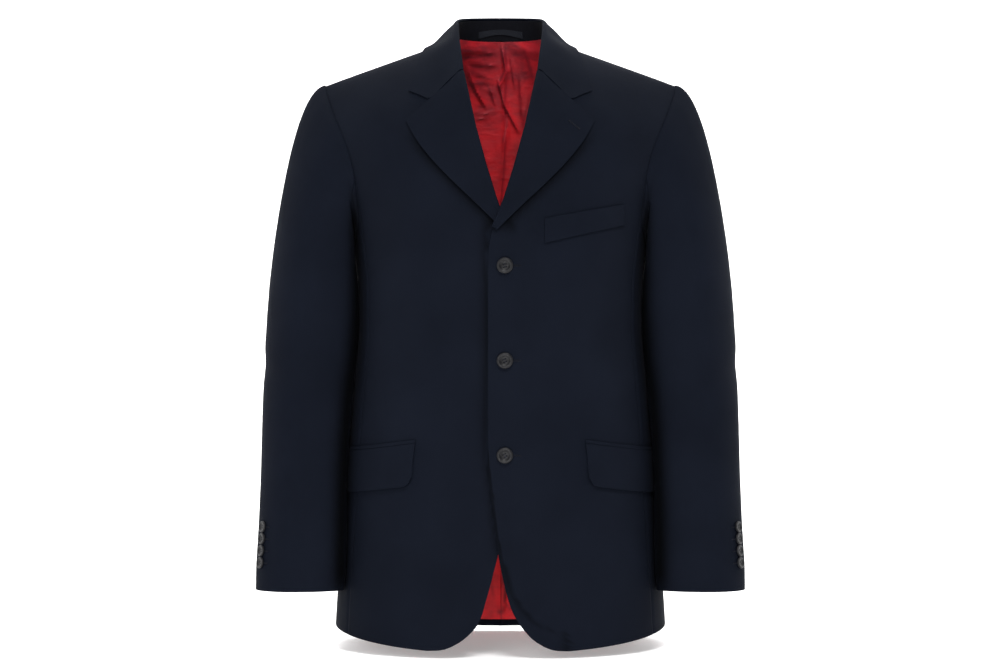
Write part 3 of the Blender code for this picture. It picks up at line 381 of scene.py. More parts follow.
# Columns: share of the radius, share of the thickness
BUTTON_PROFILE = (
    (0.0, 0.48), (0.32, 0.48), (0.42, 0.50), (0.50, 0.58), (0.56, 0.72), (0.62, 0.86), (0.70, 0.96),
    (0.78, 1.0), (0.87, 0.97), (0.94, 0.86), (0.98, 0.70), (1.0, 0.55), (0.98, 0.40), (0.90, 0.10),
    (0.84, 0.0), (0.0, 0.0),
)
HOLE_SHARE = 0.095
HOLE_PLACE = 0.17
HOLE_SIDES = 14
THREAD_HEIGHT = 0.49
THREAD_RADIUS = 0.32
THREAD_OFFSETS = (-0.28, 0.0, 0.28)
THREAD_PAST = 1.1
THREAD_FLAT = 1.2
STITCH_SIZE = (1.5, 0.55, 0.55)
STITCH_SLANT = 0.35
# Columns: length, width, thickness of a stitch, stitches
FRONT_HOLE = (20.0, 1.3, 1.0, 96)
LAPEL_HOLE = (17.0, 1.1, 0.9, 84)
CUFF_HOLE = (9.0, 1.0, 0.8, 48)
FRONT_HOLE_SHIFT = 9.0
FRONT_HOLE_LIFT = 0.25
LAPEL_HOLE_ALONG = 0.16
LAPEL_HOLE_ACROSS = (0.66, 0.76, 0.86)
LAPEL_HOLE_ABOVE = 3.0
CUFF_HOLE_SWING = 9.0
HOLE_LIFT = 0.2

LINING_FIRST_DROP = 0.0
LINING_LAST_DROP = 748.0
LINING_GAP = 1.2
LINING_SLACK = 3.5
LINING_PLEAT = 2.5
LINING_PLEAT_REACH = 0.05
LINING_FULL_DROP = 90.0
LINING_STEPS = 84
LINING_CROWD = 1.35
LINING_FINE_DROP = 240.0
LINING_FINE_STEP = 2.4
LINING_STEP = 5.0
LINING_TOP_FADE = 16.0
LINING_HEM_FADE = 7.0
LINING_HEM_FLAT = 1.0
LINING_SIDE_FADE = 0.06
LINING_WALL_SHARE = 0.8
LINING_LINE_Z = 20.5
LINING_LINE_X = (58.0, 67.0)
LINING_RISE_DROP = 45.0
LINING_LEAN = 0.32

# Pinched folds of the lining, from one end to the other, as seen from inside
FOLD_COLUMNS = ("x0", "z0", "x1", "z1", "half_width", "height")
LINING_FOLDS = (
    (1, 14, 8, -17, 2.2, 3.4),
    (9, -15, -2, -35, 2.8, 5.4),
    (-3, -30, 6, -63, 2.2, 3.6),
    (5, -60, 23, -94, 2.2, 4.2),
    (14, -2, 19, -36, 2.0, 2.6),
    (-47, -18, -27, -53, 2.6, 4.2),
    (-28, -50, -20, -64, 2.0, 3.0),
    (-55, 7, -28, 10, 2.6, 3.4),
    (-52, -2, -12, 6, 3.0, 3.4),
    (-40, -12, -8, -9, 2.4, 2.4),
    (-34, -22, -10, -27, 2.0, 2.2),
    (-36, -33, -14, -31, 1.6, 1.8),
    (-22, -40, -10, -44, 1.6, 1.8),
    (-16, -34, -8, -58, 2.0, 2.6),
    (-38, -73, -12, -71, 1.5, 1.8),
    (-36, -79, -12, -77, 1.4, 1.6),
    (26, -24, 30, -78, 3.4, 2.4),
    (43, -46, 31, -92, 4.0, 2.6),
    (16, 8, 52, -4, 4.0, 2.4),
    (34, 10, 46, -30, 4.0, 2.2),
    (12, -77, 4, -114, 2.8, 2.4),
    (-24, -112, -6, -190, 6.0, 1.2),
    (28, -110, 15, -165, 5.0, 1.2),
    (-8, -240, -30, -330, 9.0, 1.8),
    (24, -220, 40, -330, 9.0, 1.8),
    (-70, -140, -40, -260, 9.0, 2.0),
    (80, -120, 60, -270, 9.0, 2.0),
    (-60, -380, -20, -420, 8.0, 1.6),
    (20, -400, 70, -440, 8.0, 1.6),
    (-40, -480, -55, -640, 10.0, 2.0),
    (45, -500, 60, -650, 10.0, 2.0),
    (12, -640, 6, -702, 4.5, 3.0),
    (11, -690, 8, -726, 4.6, 7.5),
    (-16, -668, -6, -716, 5.0, 1.6),
    (18, -732, -14, -742, 2.4, 3.2),
    (16, -722, 2, -735, 2.6, 2.4),
    (-22, -728, -6, -737, 3.0, 1.4),
)
FOLD_PAST_END = 10.0
FOLD_END_FADE = 18.0
FOLD_END_WIDTHS = 5.0
FOLD_STEEP = 0.55
FOLD_GENTLE = 1.25
# Painted shade in the lining's creases: where it starts from a fold's foot, its least and relative width, and
# the fold height that gives it in full
CREASE_SHADE_FOOT = 0.7
CREASE_SHADE_LEAST = 1.3
CREASE_SHADE_SPREAD = 0.55
CREASE_SHADE_FULL_HEIGHT = 3.6
PLEAT_WIDTH = 2.2
PLEAT_STEEP = 0.6
PLEAT_GENTLE = 1.8
PLEAT_HEIGHT = 2.4
# Painted shade beside the centre pleat: its strength and how far off the pleat it lies
PLEAT_SHADE = 0.55
PLEAT_SHADE_AWAY = 1.6
# Columns: z, x
PLEAT_PATH = (
    (12, 4.5), (-17, 6.5), (-55, 4.5), (-112, 4.5), (-165, 1.4), (-200, -1.2), (-400, 1.0), (-748, -1.0),
)

# ---- weaves, in metres ----

TWILL_SLANT = 1.6
TWILL_PITCH = 0.0011
WEAVE_PITCH = 0.0009

# ---- photograph's frame and the studio ----

PHOTO_WIDTH = 1008
PHOTO_PITCH = 1.28
CAMERA_X = 4.5
CAMERA_Z = -367.0
CAMERA_AWAY = 3200.0
SENSOR = 36.0
CAMERA_END = 50.0

# In metres, with the setting that holds each light's power
LIGHT_COLUMNS = ("name", "place", "target", "size", "power")
LIGHTS = (
    ("overhead", (0.5, -2.1, 2.3), (0.0, 0.0, -0.3), (1.4, 0.8), "key_power"),
    ("front", (-1.3, -4.0, 0.7), (0.0, 0.0, -0.4), (2.6, 2.6), "fill_power"),
    ("hem", (-0.05, -0.9, -0.72), (0.0, 0.12, -0.68), (0.3, 0.05), "hem_power"),
    ("backdrop", (0.0, 1.2, 2.3), (0.0, 3.4, -0.2), (4.5, 1.2), "back_power"),
    ("left_side", (2.2, 0.5, 0.1), (0.3, 0.0, -0.35), (1.2, 2.2), "side_power"),
    ("right_side", (-2.2, 0.5, 0.1), (-0.3, 0.0, -0.35), (1.2, 2.2), "side_power"),
)
FLOOR_HALF_WIDTH = 9.0
FLOOR_FRONT = -9.0
FLOOR_BACK = 3.0
FLOOR_BEND = 1.4
BACKDROP_TOP = 7.0


# ---- curves ----


def smooth_line(points):
    """A curve through (station, value) pairs that keeps flat stretches flat and never overshoots."""
    xs = [float(p[0]) for p in points]
    ys = [float(p[1]) for p in points]
    widths = [b - a for a, b in zip(xs, xs[1:])]
    slopes = [(d - c) / w for c, d, w in zip(ys, ys[1:], widths)]
    tangents = [slopes[0]]
    for left, right in zip(slopes, slopes[1:]):
        tangents.append(0.0 if left * right <= 0.0 else 2.0 * left * right / (left + right))
    tangents.append(slopes[-1])

    def value(x):
        x = min(max(x, xs[0]), xs[-1])
        i = min(bisect.bisect_right(xs, x) - 1, len(widths) - 1)
        return hermite(ys[i], ys[i + 1], tangents[i] * widths[i], tangents[i + 1] * widths[i],
                       (x - xs[i]) / widths[i])

    return value


def hermite(start, end, leave, arrive, t):
    """The cubic from start to end with the given end tangents, for numbers or vectors."""
    return (start * (2 * t**3 - 3 * t**2 + 1) + leave * (t**3 - 2 * t**2 + t)
            + end * (3 * t**2 - 2 * t**3) + arrive * (t**3 - t**2))


def blend(start, end, share):
    """The value at a share of the way from start to end."""
    return start + (end - start) * share


def shares_of(steps):
    """Even shares from 0 to 1."""
    return [i / steps for i in range(steps + 1)]


def swell(distance, reach):
    """A soft bump, 1 at no distance and fading over the reach."""
    return math.exp(-(distance / reach) ** 2)


def column_curves(rows, names):
    """One smooth curve for each column after the first, which holds the stations."""
    return {name: smooth_line([(row[0], row[i]) for row in rows]) for i, name in enumerate(names) if i}


def ease(t):
    """0 to 1 with level ends."""
    t = min(max(t, 0.0), 1.0)
    return t * t * (3.0 - 2.0 * t)


def stations(first, last, step, keep=()):
    """Even stations from first to last, no further apart than step, with the kept ones among them."""
    marks = sorted({float(first), float(last), *[float(k) for k in keep if first < k < last]})
    found = [marks[0]]
    for low, high in zip(marks, marks[1:]):
        count = max(1, math.ceil((high - low) / step))
        found += [low + (high - low) * i / count for i in range(1, count + 1)]
    return found


def bands(names, rows):
    return [dict(zip(names, row)) for row in rows]


TRUNK = column_curves(TRUNK_ROWS, TRUNK_COLUMNS)
ARMHOLE = column_curves(ARMHOLE_ROWS, ARMHOLE_COLUMNS)
SEAM = column_curves(SEAM_ROWS, SEAM_COLUMNS)
SLEEVE = column_curves(SLEEVE_ROWS[::-1], SLEEVE_COLUMNS)
FRONT_EDGE = {LEFT: smooth_line(LEFT_EDGE), RIGHT: smooth_line(RIGHT_EDGE)}
NECK_DROP = smooth_line(BACK_NECK)
LAPEL = column_curves(LAPEL_EDGE, LAPEL_COLUMNS)
LAPEL_X = smooth_line([(z, x) for _, x, z in reversed(LAPEL_EDGE)])
LAPEL_LOW, LAPEL_HIGH = LAPEL_EDGE[-1][-1], LAPEL_EDGE[0][-1]
HOLLOW_X = smooth_line(ARM_HOLLOW)
PLEAT_X = smooth_line(PLEAT_PATH[::-1])
DRAPE_BANDS = bands(DRAPE_COLUMNS, DRAPES)
CREASE_BANDS = bands(CREASE_COLUMNS, CREASES)
FOLD_BANDS = bands(FOLD_COLUMNS, LINING_FOLDS)


# ---- trunk form ----


def ridge(x):
    """Height of the shoulder line at x."""
    return SHOULDER_TOP - SHOULDER_SLOPE * math.hypot(x, SHOULDER_SOFTNESS)


def nape(x, drop):
    """Extra height of the back below the neck."""
    share = max(0.0, 1.0 - (x / NECK_HALF_WIDTH) ** 2)
    return NAPE_RISE * share**NAPE_POWER * (1.0 - ease(drop / NECK_FADE))


def hem_drop(turn):
    """How far down the hem lies at a turn about the trunk, 0 in front and 180 behind."""
    return HEM_SIDE + HEM_SAG * abs(math.cos(math.radians(turn))) ** HEM_POWER


def hang(drop, turn):
    """A row's drop at a turn, with the rows near the hem following it."""
    if drop <= HEM_START:
        return drop
    return HEM_START + (drop - HEM_START) * (hem_drop(turn) - HEM_START) / (HEM_DROP - HEM_START)


def trunk(turn, drop):
    """Point of the trunk's outer form in the half where x is positive."""
    width = TRUNK["half_width"](drop)
    share = math.sin(math.radians(turn))
    x = width * share
    bulge = max(0.0, 1.0 - abs(share) ** SECTION_POWER) ** (1.0 / SECTION_POWER)
    z = TRUNK["slope_share"](drop) * ridge(x) - drop
    if turn > 90.0:
        return Vector((x, SHOULDER_Y + TRUNK["back_depth"](drop) * bulge, z + nape(x, drop)))
    return Vector((x, SHOULDER_Y - TRUNK["front_depth"](drop) * bulge, z))


def trunk_normal(turn, drop):
    """Outward direction of the trunk's form, shared by the panels that meet there."""
    across = trunk(turn + NORMAL_STEP, drop) - trunk(turn - NORMAL_STEP, drop)
    if drop < NORMAL_STEP:
        down = trunk(turn, NORMAL_STEP) - trunk(180.0 - turn, NORMAL_STEP)
    else:
        down = trunk(turn, drop + NORMAL_STEP) - trunk(turn, drop - NORMAL_STEP)
    return across.cross(down).normalized() * -1.0


def turn_at(x, drop, behind=False):
    """The turn at which the trunk has the given x."""
    share = min(max(x / TRUNK["half_width"](drop), -1.0), 1.0)
    turn = math.degrees(math.asin(share))
    return 180.0 - turn if behind else turn


def drop_at(x, z, behind=False):
    """The drop at which the trunk's form has the given x and height."""
    low, high = 0.0, HEM_DROP + SEARCH_MARGIN
    for _ in range(SEARCH_STEPS):
        middle = 0.5 * (low + high)
        height = TRUNK["slope_share"](middle) * ridge(x) - middle + (nape(x, middle) if behind else 0.0)
        low, high = (middle, high) if height > z else (low, middle)
    return 0.5 * (low + high)


def trunk_width_at(x, y, z):
    """Half-width of the trunk's form at a depth and height, near the given x."""
    drop = drop_at(x, z)
    depth = TRUNK["back_depth"](drop) if y > SHOULDER_Y else TRUNK["front_depth"](drop)
    share = abs(y - SHOULDER_Y) / max(depth, 1.0)
    return TRUNK["half_width"](drop) * max(0.0, 1.0 - share**SECTION_POWER) ** (1.0 / SECTION_POWER)


def lap(side, x, drop):
    """How far the left front stands off the form where it laps over the right one."""
    if side == RIGHT:
        return 0.0
    cross = CROSS_LIFT * (1.0 - ease(abs(drop - CROSS_DROP) / CROSS_REACH))
    below = ease((drop - GORGE_DROP) / (BREAK_DROP - GORGE_DROP))
    return (LAP_LIFT * below + cross) * (1.0 - ease((x - LAP_INNER_X) / (LAP_OUTER_X - LAP_INNER_X)))


def drape(side, point, face):
    """Depth of the soft drapes at a point of the trunk, in its own half."""
    depth = 0.0
    shift = 0.0 if side == LEFT else RIGHT_DRAPE_SHIFT
    for band in DRAPE_BANDS:
        if band["face"] != face:
            continue
        lean = math.radians(band["lean"])
        x, z = point.x - band["x"], point.z - band["z"] + shift
        across = x * math.cos(lean) - z * math.sin(lean)
        along = x * math.sin(lean) + z * math.cos(lean)
        fade = (across / band["half_across"]) ** 2 + (along / band["half_along"]) ** 2
        if fade < DRAPE_END:
            depth += band["depth"] * math.exp(-fade)
    return depth * (1.0 if side == LEFT else RIGHT_DRAPE_SHARE)


def mirrored(point, side):
    return Vector((side * point.x, point.y, point.z))


def panel_point(side, turn, drop, lift=0.0):
    """Point over the trunk's form, on the side given, lifted along its outward direction."""
    point = trunk(turn, drop)
    face = "front" if turn < 90.0 else "back"
    if face == "front":
        lift += lap(side, point.x, drop)
    lift -= drape(side, point, face)
    return mirrored(point + trunk_normal(turn, drop) * lift, side)


def on_panel(side, x, z, lift=0.0, behind=False):
    """Point over a front or a back at the given place in its own half."""
    drop = drop_at(x, z, behind)
    return panel_point(side, turn_at(x, drop, behind), drop, lift)


def over_front(x, z, lift):
    """Point over the front's form without its lap, for pieces that match on both sides."""
    drop = drop_at(x, z)
    turn = turn_at(x, drop)
    return trunk(turn, drop) + trunk_normal(turn, drop) * lift


# ---- grids of points ----


def run_lengths(points):
    """Length along a run of points at each of them."""
    lengths = [0.0]
    for a, b in zip(points, points[1:]):
        lengths.append(lengths[-1] + (b - a).length)
    return lengths


def spline(points, steps):
    """Points of a smooth curve through the given ones, with the given number of steps between each two."""
    found = []
    last = len(points) - 1
    for i in range(last):
        a, b = points[i], points[i + 1]
        before = points[i - 1] if i else a * 2.0 - b
        after = points[i + 2] if i + 2 <= last else b * 2.0 - a
        span = (b - a).length
        low, high = max((a - before).length, TINY), max((after - b).length, TINY)
        leave = ((b - a) / span * low + (a - before) / low * span) / (low + span) * span
        arrive = ((after - b) / high * span + (b - a) / span * high) / (high + span) * span
        found += [hermite(a, b, leave, arrive, j / steps) for j in range(steps)]
    return found + [points[-1].copy()]


def refined(rows, row_steps, col_steps):
    """A finer grid on the smooth surface through a grid of points."""
    wide = [spline(row, col_steps) for row in rows]
    columns = [spline(list(column), row_steps) for column in zip(*wide)]
    return [list(row) for row in zip(*columns)]


def edge_shares(width, step):
    """Shares across a width, close together at both ends and even between them."""
    close = [d / width for d in EDGE_STEPS]
    count = max(2, round((width - 2.0 * EDGE_STEPS[-1]) / step))
    inner = [close[-1] + (1.0 - 2.0 * close[-1]) * i / count for i in range(1, count)]
    return [0.0] + close + inner + [1.0 - share for share in reversed(close)] + [1.0]


def grid_lengths(rows):
    """Lengths along each row of a grid, and down each of its columns."""
    return [run_lengths(row) for row in rows], [run_lengths(column) for column in zip(*rows)]


def sunk_edges(rows, sides, inward):
    """Rolls the cloth inward next to the named seam edges of a grid, as a soft groove, and laps its ends."""
    moved = [[point.copy() for point in row] for row in rows]
    across, down = grid_lengths(rows)
    for r, line in enumerate(moved):
        for c, way in enumerate(inward[r]):
            walks = {"first": across[r][c], "last": across[r][-1] - across[r][c],
                     "top": down[c][r], "bottom": down[c][-1] - down[c][r]}
            near = min(walks[side] for side in sides)
            if near < SEAM_FADE * SEAM_REACH:
                line[c] += way * (SEAM_SINK * swell(near, SEAM_REACH))
    for side, end, inner in (("first", 0, 1), ("last", -1, -2)):
        if side in sides:
            for line in moved:
                line[end] += (line[end] - line[inner]).normalized() * SEAM_OVERLAP
    if "bottom" in sides:
        for first, second in (moved[:2], moved[:-3:-1]):
            for c, point in enumerate(first):
                point += (point - second[c]).normalized() * SEAM_OVERLAP
    return moved


def grid_inward(rows, outside):
    """Directions into the wall behind a grid; outside is a point beyond its outer face."""
    last_row, last_col = len(rows) - 1, len(rows[0]) - 1
    directions = []
    for r, row in enumerate(rows):
        above, below = rows[max(r - 1, 0)], rows[min(r + 1, last_row)]
        directions.append([
            (below[c] - above[c]).cross(row[min(c + 1, last_col)] - row[max(c - 1, 0)]).normalized()
            for c in range(last_col + 1)])
    r, c = last_row // 2, last_col // 2
    flip = directions[r][c].dot(Vector(outside) - rows[r][c]) > 0.0
    return scaled(directions, -1.0) if flip else directions


def scaled(ways, share):
    return [[way * share for way in line] for line in ways]


def pushed(rows, ways, distance):
    """A grid with each point moved along its way."""
    return [[point + way * distance for point, way in zip(row, line)] for row, line in zip(rows, ways)]


# ---- cloth pieces ----


def linked(name, data):
    """A new object of the scene, at the origin."""
    item = bpy.data.objects.new(name, data)
    bpy.context.scene.collection.objects.link(item)
    return item


def collect(name, bm, finish):
    """A finished object at the origin from a bmesh."""
    mesh = bpy.data.meshes.new(name)
    bm.to_mesh(mesh)
    bm.free()
    mesh.shade_smooth()
    mesh.materials.append(finish)
    return linked(name, mesh)


def cloth_piece(name, rows, wall, finish, inward, round_edge, painted_shade_at):
    """A sheet of cloth on a grid of outer points, with a wall behind it and soft edges."""
    row_steps, col_steps = len(rows) - 1, len(rows[0]) - 1
    bm = bmesh.new()
    bmesh.ops.create_grid(bm, x_segments=col_steps, y_segments=row_steps, size=1.0)
    reach = max(vert.co.x for vert in bm.verts)
    cut = bm.loops.layers.uv.new("cut")
    # The crease layer holds painted shade: how far the cloth's colour is darkened towards black at each
    # point.
    crease = bm.verts.layers.float.new("crease") if painted_shade_at else None
    across, down = grid_lengths(rows)
    place = {}
    for vert in bm.verts:
        r = round((vert.co.y / reach + 1.0) * 0.5 * row_steps)
        c = round((vert.co.x / reach + 1.0) * 0.5 * col_steps)
        place[vert] = (r, c)
        vert.co = rows[r][c] * MM
        if painted_shade_at:
            vert[crease] = painted_shade_at(rows[r][c])
    middle = col_steps // 2
    for face in bm.faces:
        for loop in face.loops:
            r, c = place[loop.vert]
            loop[cut].uv = ((across[r][c] - across[r][middle]) * MM, down[c][r] * MM)
    bm.normal_update()
    toward = 0.0
    for face in bm.faces:
        r, c = place[face.verts[0]]
        toward += face.normal.dot(inward[r][c])
    if toward > 0.0:
        bmesh.ops.reverse_faces(bm, faces=bm.faces[:])
    piece = collect(name, bm, finish)
    thick = piece.modifiers.new("wall", "SOLIDIFY")
    thick.thickness = wall * MM
    thick.offset = -1.0
    soft = piece.modifiers.new("soft edge", "BEVEL")
    soft.width = round_edge * MM
    soft.segments = 2
    soft.limit_method = "ANGLE"
    soft.angle_limit = math.radians(SOFT_EDGE_ANGLE)
    soft.harden_normals = True
    return piece


# Gives the painted shade that cloth_piece stores in the crease layer of the wool pieces.
def hollow_shade(point):
    """How far a place on the wool lies in shade: beside a sleeve, under a lapel's edge or by the lap."""
    x, z = point.x, point.z
    reach = blend(*ARM_SHADE_REACH, ease((ARM_SHADE_TOP - z) / ARM_SHADE_SPREAD))
    shade = ARM_SHADE * swell(abs(x) - HOLLOW_X(z), reach) * ease((ARM_SHADE_TOP - z) / ARM_SHADE_FADE)
    shade *= ease((z - SLEEVE_CUFF + ARM_SHADE_END) / (2.0 * ARM_SHADE_END))
    if point.y >= 0.0:
        return shade
    if LAPEL_LOW - LAPEL_SHADE_BELOW < z < LAPEL_HIGH:
        foot, foot_fade = LAPEL_SHADE_FOOT
        full = ease((z - LAPEL_LOW + foot) / foot_fade) * ease((LAPEL_HIGH - z) / LAPEL_SHADE_HEAD)
        for side in WORDS:
            away = (side * x - LAPEL_X(max(z, LAPEL_LOW))) * LAPEL_SLANT
            if away > -LAPEL_SHADE_UNDER:
                shade = max(shade, LAPEL_SHADE * full * swell(max(away, 0.0), LAPEL_SHADE_REACH))
    if z < LAPEL_LOW + LAP_SHADE_RISE:
        away = (FRONT_EDGE[LEFT](ridge(0.0) - z) - x) / LAP_SHADE_REACH
        if away > LAP_SHADE_START:
            shade = max(shade, LAP_SHADE * swell(away, 1.0))
    return shade


def declare(piece, rows, node, rests_on):
    """Rides the cloth on the garment and hides the imported part it stands for; it also works out the cut's
    flat size and area, which go no further.
    """
    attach(piece, BODY)
    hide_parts(node)
    width, length = (round(max(max(lengths[-1] for lengths in way) * MM, LEAST_SIDE), 3)
                     for way in grid_lengths(rows))
    area = 0.0
    for upper, lower in zip(rows, rows[1:]):
        for a, b, c, d in zip(upper, upper[1:], lower, lower[1:]):
            area += 0.5 * ((d - a).cross(c - b)).length * MM * MM


def dress(node, rows, ways, wall, finish, rests_on, round_edge=SOFT_EDGE,
          painted_shade_at=None, cut_rows=None):
    piece = cloth_piece(node + "_cloth", rows, wall, finish, ways, round_edge, painted_shade_at)
    declare(piece, cut_rows or rows, node, [other + "_cloth" for other in rests_on])


# ---- trunk panels ----


def armhole_turn(drop, behind):
    return turn_at(ARMHOLE["back_x" if behind else "front_x"](drop), drop, behind)


def seam_turn(drop, behind):
    return SEAM["back_turn" if behind else "front_turn"](drop)


def outer_turn(drop, behind):
    return armhole_turn(drop, behind) if drop <= ARMHOLE_DROP else seam_turn(drop, behind)


def turn_range(start, end, drop):
    """Turns from start to end at a drop, close together next to the ends."""
    width = (trunk(start, drop) - trunk(end, drop)).length
    return [blend(start, end, share) for share in edge_shares(max(width, NARROWEST_ROW), PANEL_ACROSS_STEP)]


def even_columns(rows_of_turns):
    """The same number of columns in each row, as the shares of the widest one."""
    widest = max(rows_of_turns, key=len)
    shares = [(turn - widest[0]) / (widest[-1] - widest[0]) for turn in widest]
    return [[blend(row[0], row[-1], share) for share in shares] for row in rows_of_turns]


def back_drop(drop, turn):
    """A back row's drop, with the rows near the neck following the neck seam."""
    if drop >= NECK_FADE:
        return hang(drop, turn)
    x = TRUNK["half_width"](drop) * math.sin(math.radians(turn))
    neck = NECK_DROP(x) if x < NECK_HALF_WIDTH else 0.0
    return drop + neck * (1.0 - drop / NECK_FADE)


def panel_drops(first, top_drops):
    """Drops of a panel's rows, close together at its top."""
    return [first + drop for drop in top_drops] + stations(first, HEM_DROP, PANEL_STEP, PANEL_KEEP)[1:]


def panel_places(behind, inner_turn, lowered):
    """Turns and drops of a front's or back's grid, from its inner edge outward."""
    drops = panel_drops(0.0, TOP_DROPS)
    turns = even_columns([turn_range(inner_turn(drop), outer_turn(drop, behind), drop) for drop in drops])
    return [[(turn, lowered(drop, turn)) for turn in row] for drop, row in zip(drops, turns)]


def front_places(side):
    return panel_places(False, lambda drop: turn_at(FRONT_EDGE[side](drop), drop), hang)


def back_places():
    return panel_places(True, lambda drop: 180.0, back_drop)


def underarm_turns(drop, steps=UNDERARM_STEPS):
    """Turns of a side panel's columns, closer together towards its seams."""
    front, back = seam_turn(drop, False), seam_turn(drop, True)
    shares = [math.sin(math.radians(90.0 * i / steps)) for i in range(steps + 1)]
    forward = [90.0 - (90.0 - front) * share for share in shares[::-1]]
    return forward + [90.0 + (back - 90.0) * share for share in shares[1:]]


def underarm_dip(turn):
    """How far the underarm curve hangs below the seams' upper ends."""
    reach = 90.0 - seam_turn(ARMHOLE_DROP, False) if turn < 90.0 else seam_turn(ARMHOLE_DROP, True) - 90.0
    share = min(abs(turn - 90.0) / reach, 1.0)
    return (ARMPIT_DROP - ARMHOLE_DROP) * math.sqrt(1.0 - share * share)


def side_places():
    rows = []
    top_turns = underarm_turns(ARMHOLE_DROP)
    for drop in panel_drops(ARMHOLE_DROP, SIDE_TOP_DROPS):
        fade = max(0.0, 1.0 - (drop - ARMHOLE_DROP) / UNDERARM_FADE)
        rows.append([(turn, hang(drop, turn) + fade * underarm_dip(top))
                     for turn, top in zip(underarm_turns(drop), top_turns)])
    return rows


def dart_sink(x, z):
    """Depth of a front's dart line at a place in its own half."""
    if abs(x - DART_X) > DART_END * DART_REACH or not DART_BOTTOM < z < DART_TOP:
        return 0.0
    return DART_SINK * ease((DART_TOP - z) / DART_FADE) * swell(x - DART_X, DART_REACH)


def trunk_panel(kind, side, places, sides, rests_on, finish, wall):
    """Dresses a front, back or side body."""
    rows = [[panel_point(side, turn, drop) for turn, drop in row] for row in places]
    inward = [[mirrored(-trunk_normal(turn, drop), side) for turn, drop in row] for row in places]
    if kind == "front":
        rows = [[point + way * dart_sink(side * point.x, point.z) for point, way in zip(row, line)]
                for row, line in zip(rows, inward)]
    dress(f"{kind}_{WORDS[side]}", sunk_edges(rows, sides, inward), inward, wall, finish, [rests_on],
          painted_shade_at=hollow_shade)


# ---- sleeves ----


def armhole_ring():
    """Places round the armhole, from the shoulder down the front, under the arm and up the back."""
    drops = stations(0, ARMHOLE_DROP, ARMHOLE_DROP_STEP, (*ARMHOLE_KEEP, HIND_DROP, FORE_DROP))
    front = [(armhole_turn(drop, False), drop) for drop in drops]
    under = [(turn, ARMHOLE_DROP + underarm_dip(turn))
             for turn in underarm_turns(ARMHOLE_DROP, ARMHOLE_UNDER_STEPS)[1:-1]]
    back = [(armhole_turn(drop, True), drop) for drop in reversed(drops[1:])]
    fore = drops.index(FORE_DROP)
    hind = len(front) + len(under) + len(drops) - 1 - drops.index(HIND_DROP)
    return front + under + back, fore, hind


def crease(angle, z):
    """Depth of the sleeve's soft creases at a place on it."""
    depth = 0.0
    for fold in CREASE_BANDS:
        swing = (angle - fold["angle"] + 180.0) % 360.0 - 180.0
        height = z - fold["z"] - fold["lean"] * swing
        fade = 2.0 * (swing / fold["half_turn"]) ** 2 + (height / fold["half_height"]) ** 2
        depth += fold["depth"] * math.exp(-fade)
    return depth


def clear_of_trunk(x, y, z, clearance):
    """The given x, kept a clearance outside the trunk's form."""
    limit = trunk_width_at(x, y, z) + clearance
    if x > limit + SLEEVE_SOFTNESS:
        return x
    if x < limit - SLEEVE_SOFTNESS:
        return limit
    return limit + (x - limit + SLEEVE_SOFTNESS) ** 2 / (4.0 * SLEEVE_SOFTNESS)


def sleeve_section(angle, z):
    """Point of a sleeve at an angle about it, 0 outward and 90 in front, and a level."""
    turn = math.radians(angle)
    sink = crease(angle, z)
    full = SLEEVE_INNER_SHARE if math.cos(turn) < 0.0 else 1.0
    x = SLEEVE["centre_x"](z) + (SLEEVE["half_width"](z) * full - sink) * math.cos(turn)
    y = SLEEVE["centre_y"](z) - (SLEEVE["half_depth"](z) - sink) * math.sin(turn)
    return Vector((clear_of_trunk(x, y, z, SLEEVE["clear"](z)), y, z))


def sleeve_angles(z, fore, hind, count, top_shares, under_shares):
    """Angles of the ring's points at a level, between the hind and fore seams."""
    hind_angle, fore_angle = SLEEVE["hind"](z), SLEEVE["fore"](z)
    angles = [0.0] * count
    even = ease((SLEEVE_TOP - z) / EVEN_SPREAD)
    for first, start, end, shares in ((hind, hind_angle, fore_angle, top_shares),
                                      (fore, fore_angle, hind_angle + 360.0, under_shares)):
        for i, share in enumerate(shares):
            share += even * (i / (len(shares) - 1) - share)
            angles[(first + i) % count] = blend(start, end, share)
    return angles


def cap_directions(angle):
    """Directions in which the cap leaves the armhole and arrives at the first section, at an angle."""
    outward, ahead = math.cos(math.radians(angle)), math.sin(math.radians(angle))
    leave = Vector((CAP_LEAVE_OUT + CAP_LEAVE_SPREAD * outward, -CAP_LEAVE_AHEAD * ahead,
                    -CAP_LEAVE_DOWN + CAP_LEAVE_ROUND * outward))
    arrive = Vector((CAP_ARRIVE_OUT * (1.0 + outward), 0.0, -1.0))
    return leave, arrive


def shares_along(points):
    lengths = run_lengths(points)
    return [length / lengths[-1] for length in lengths]


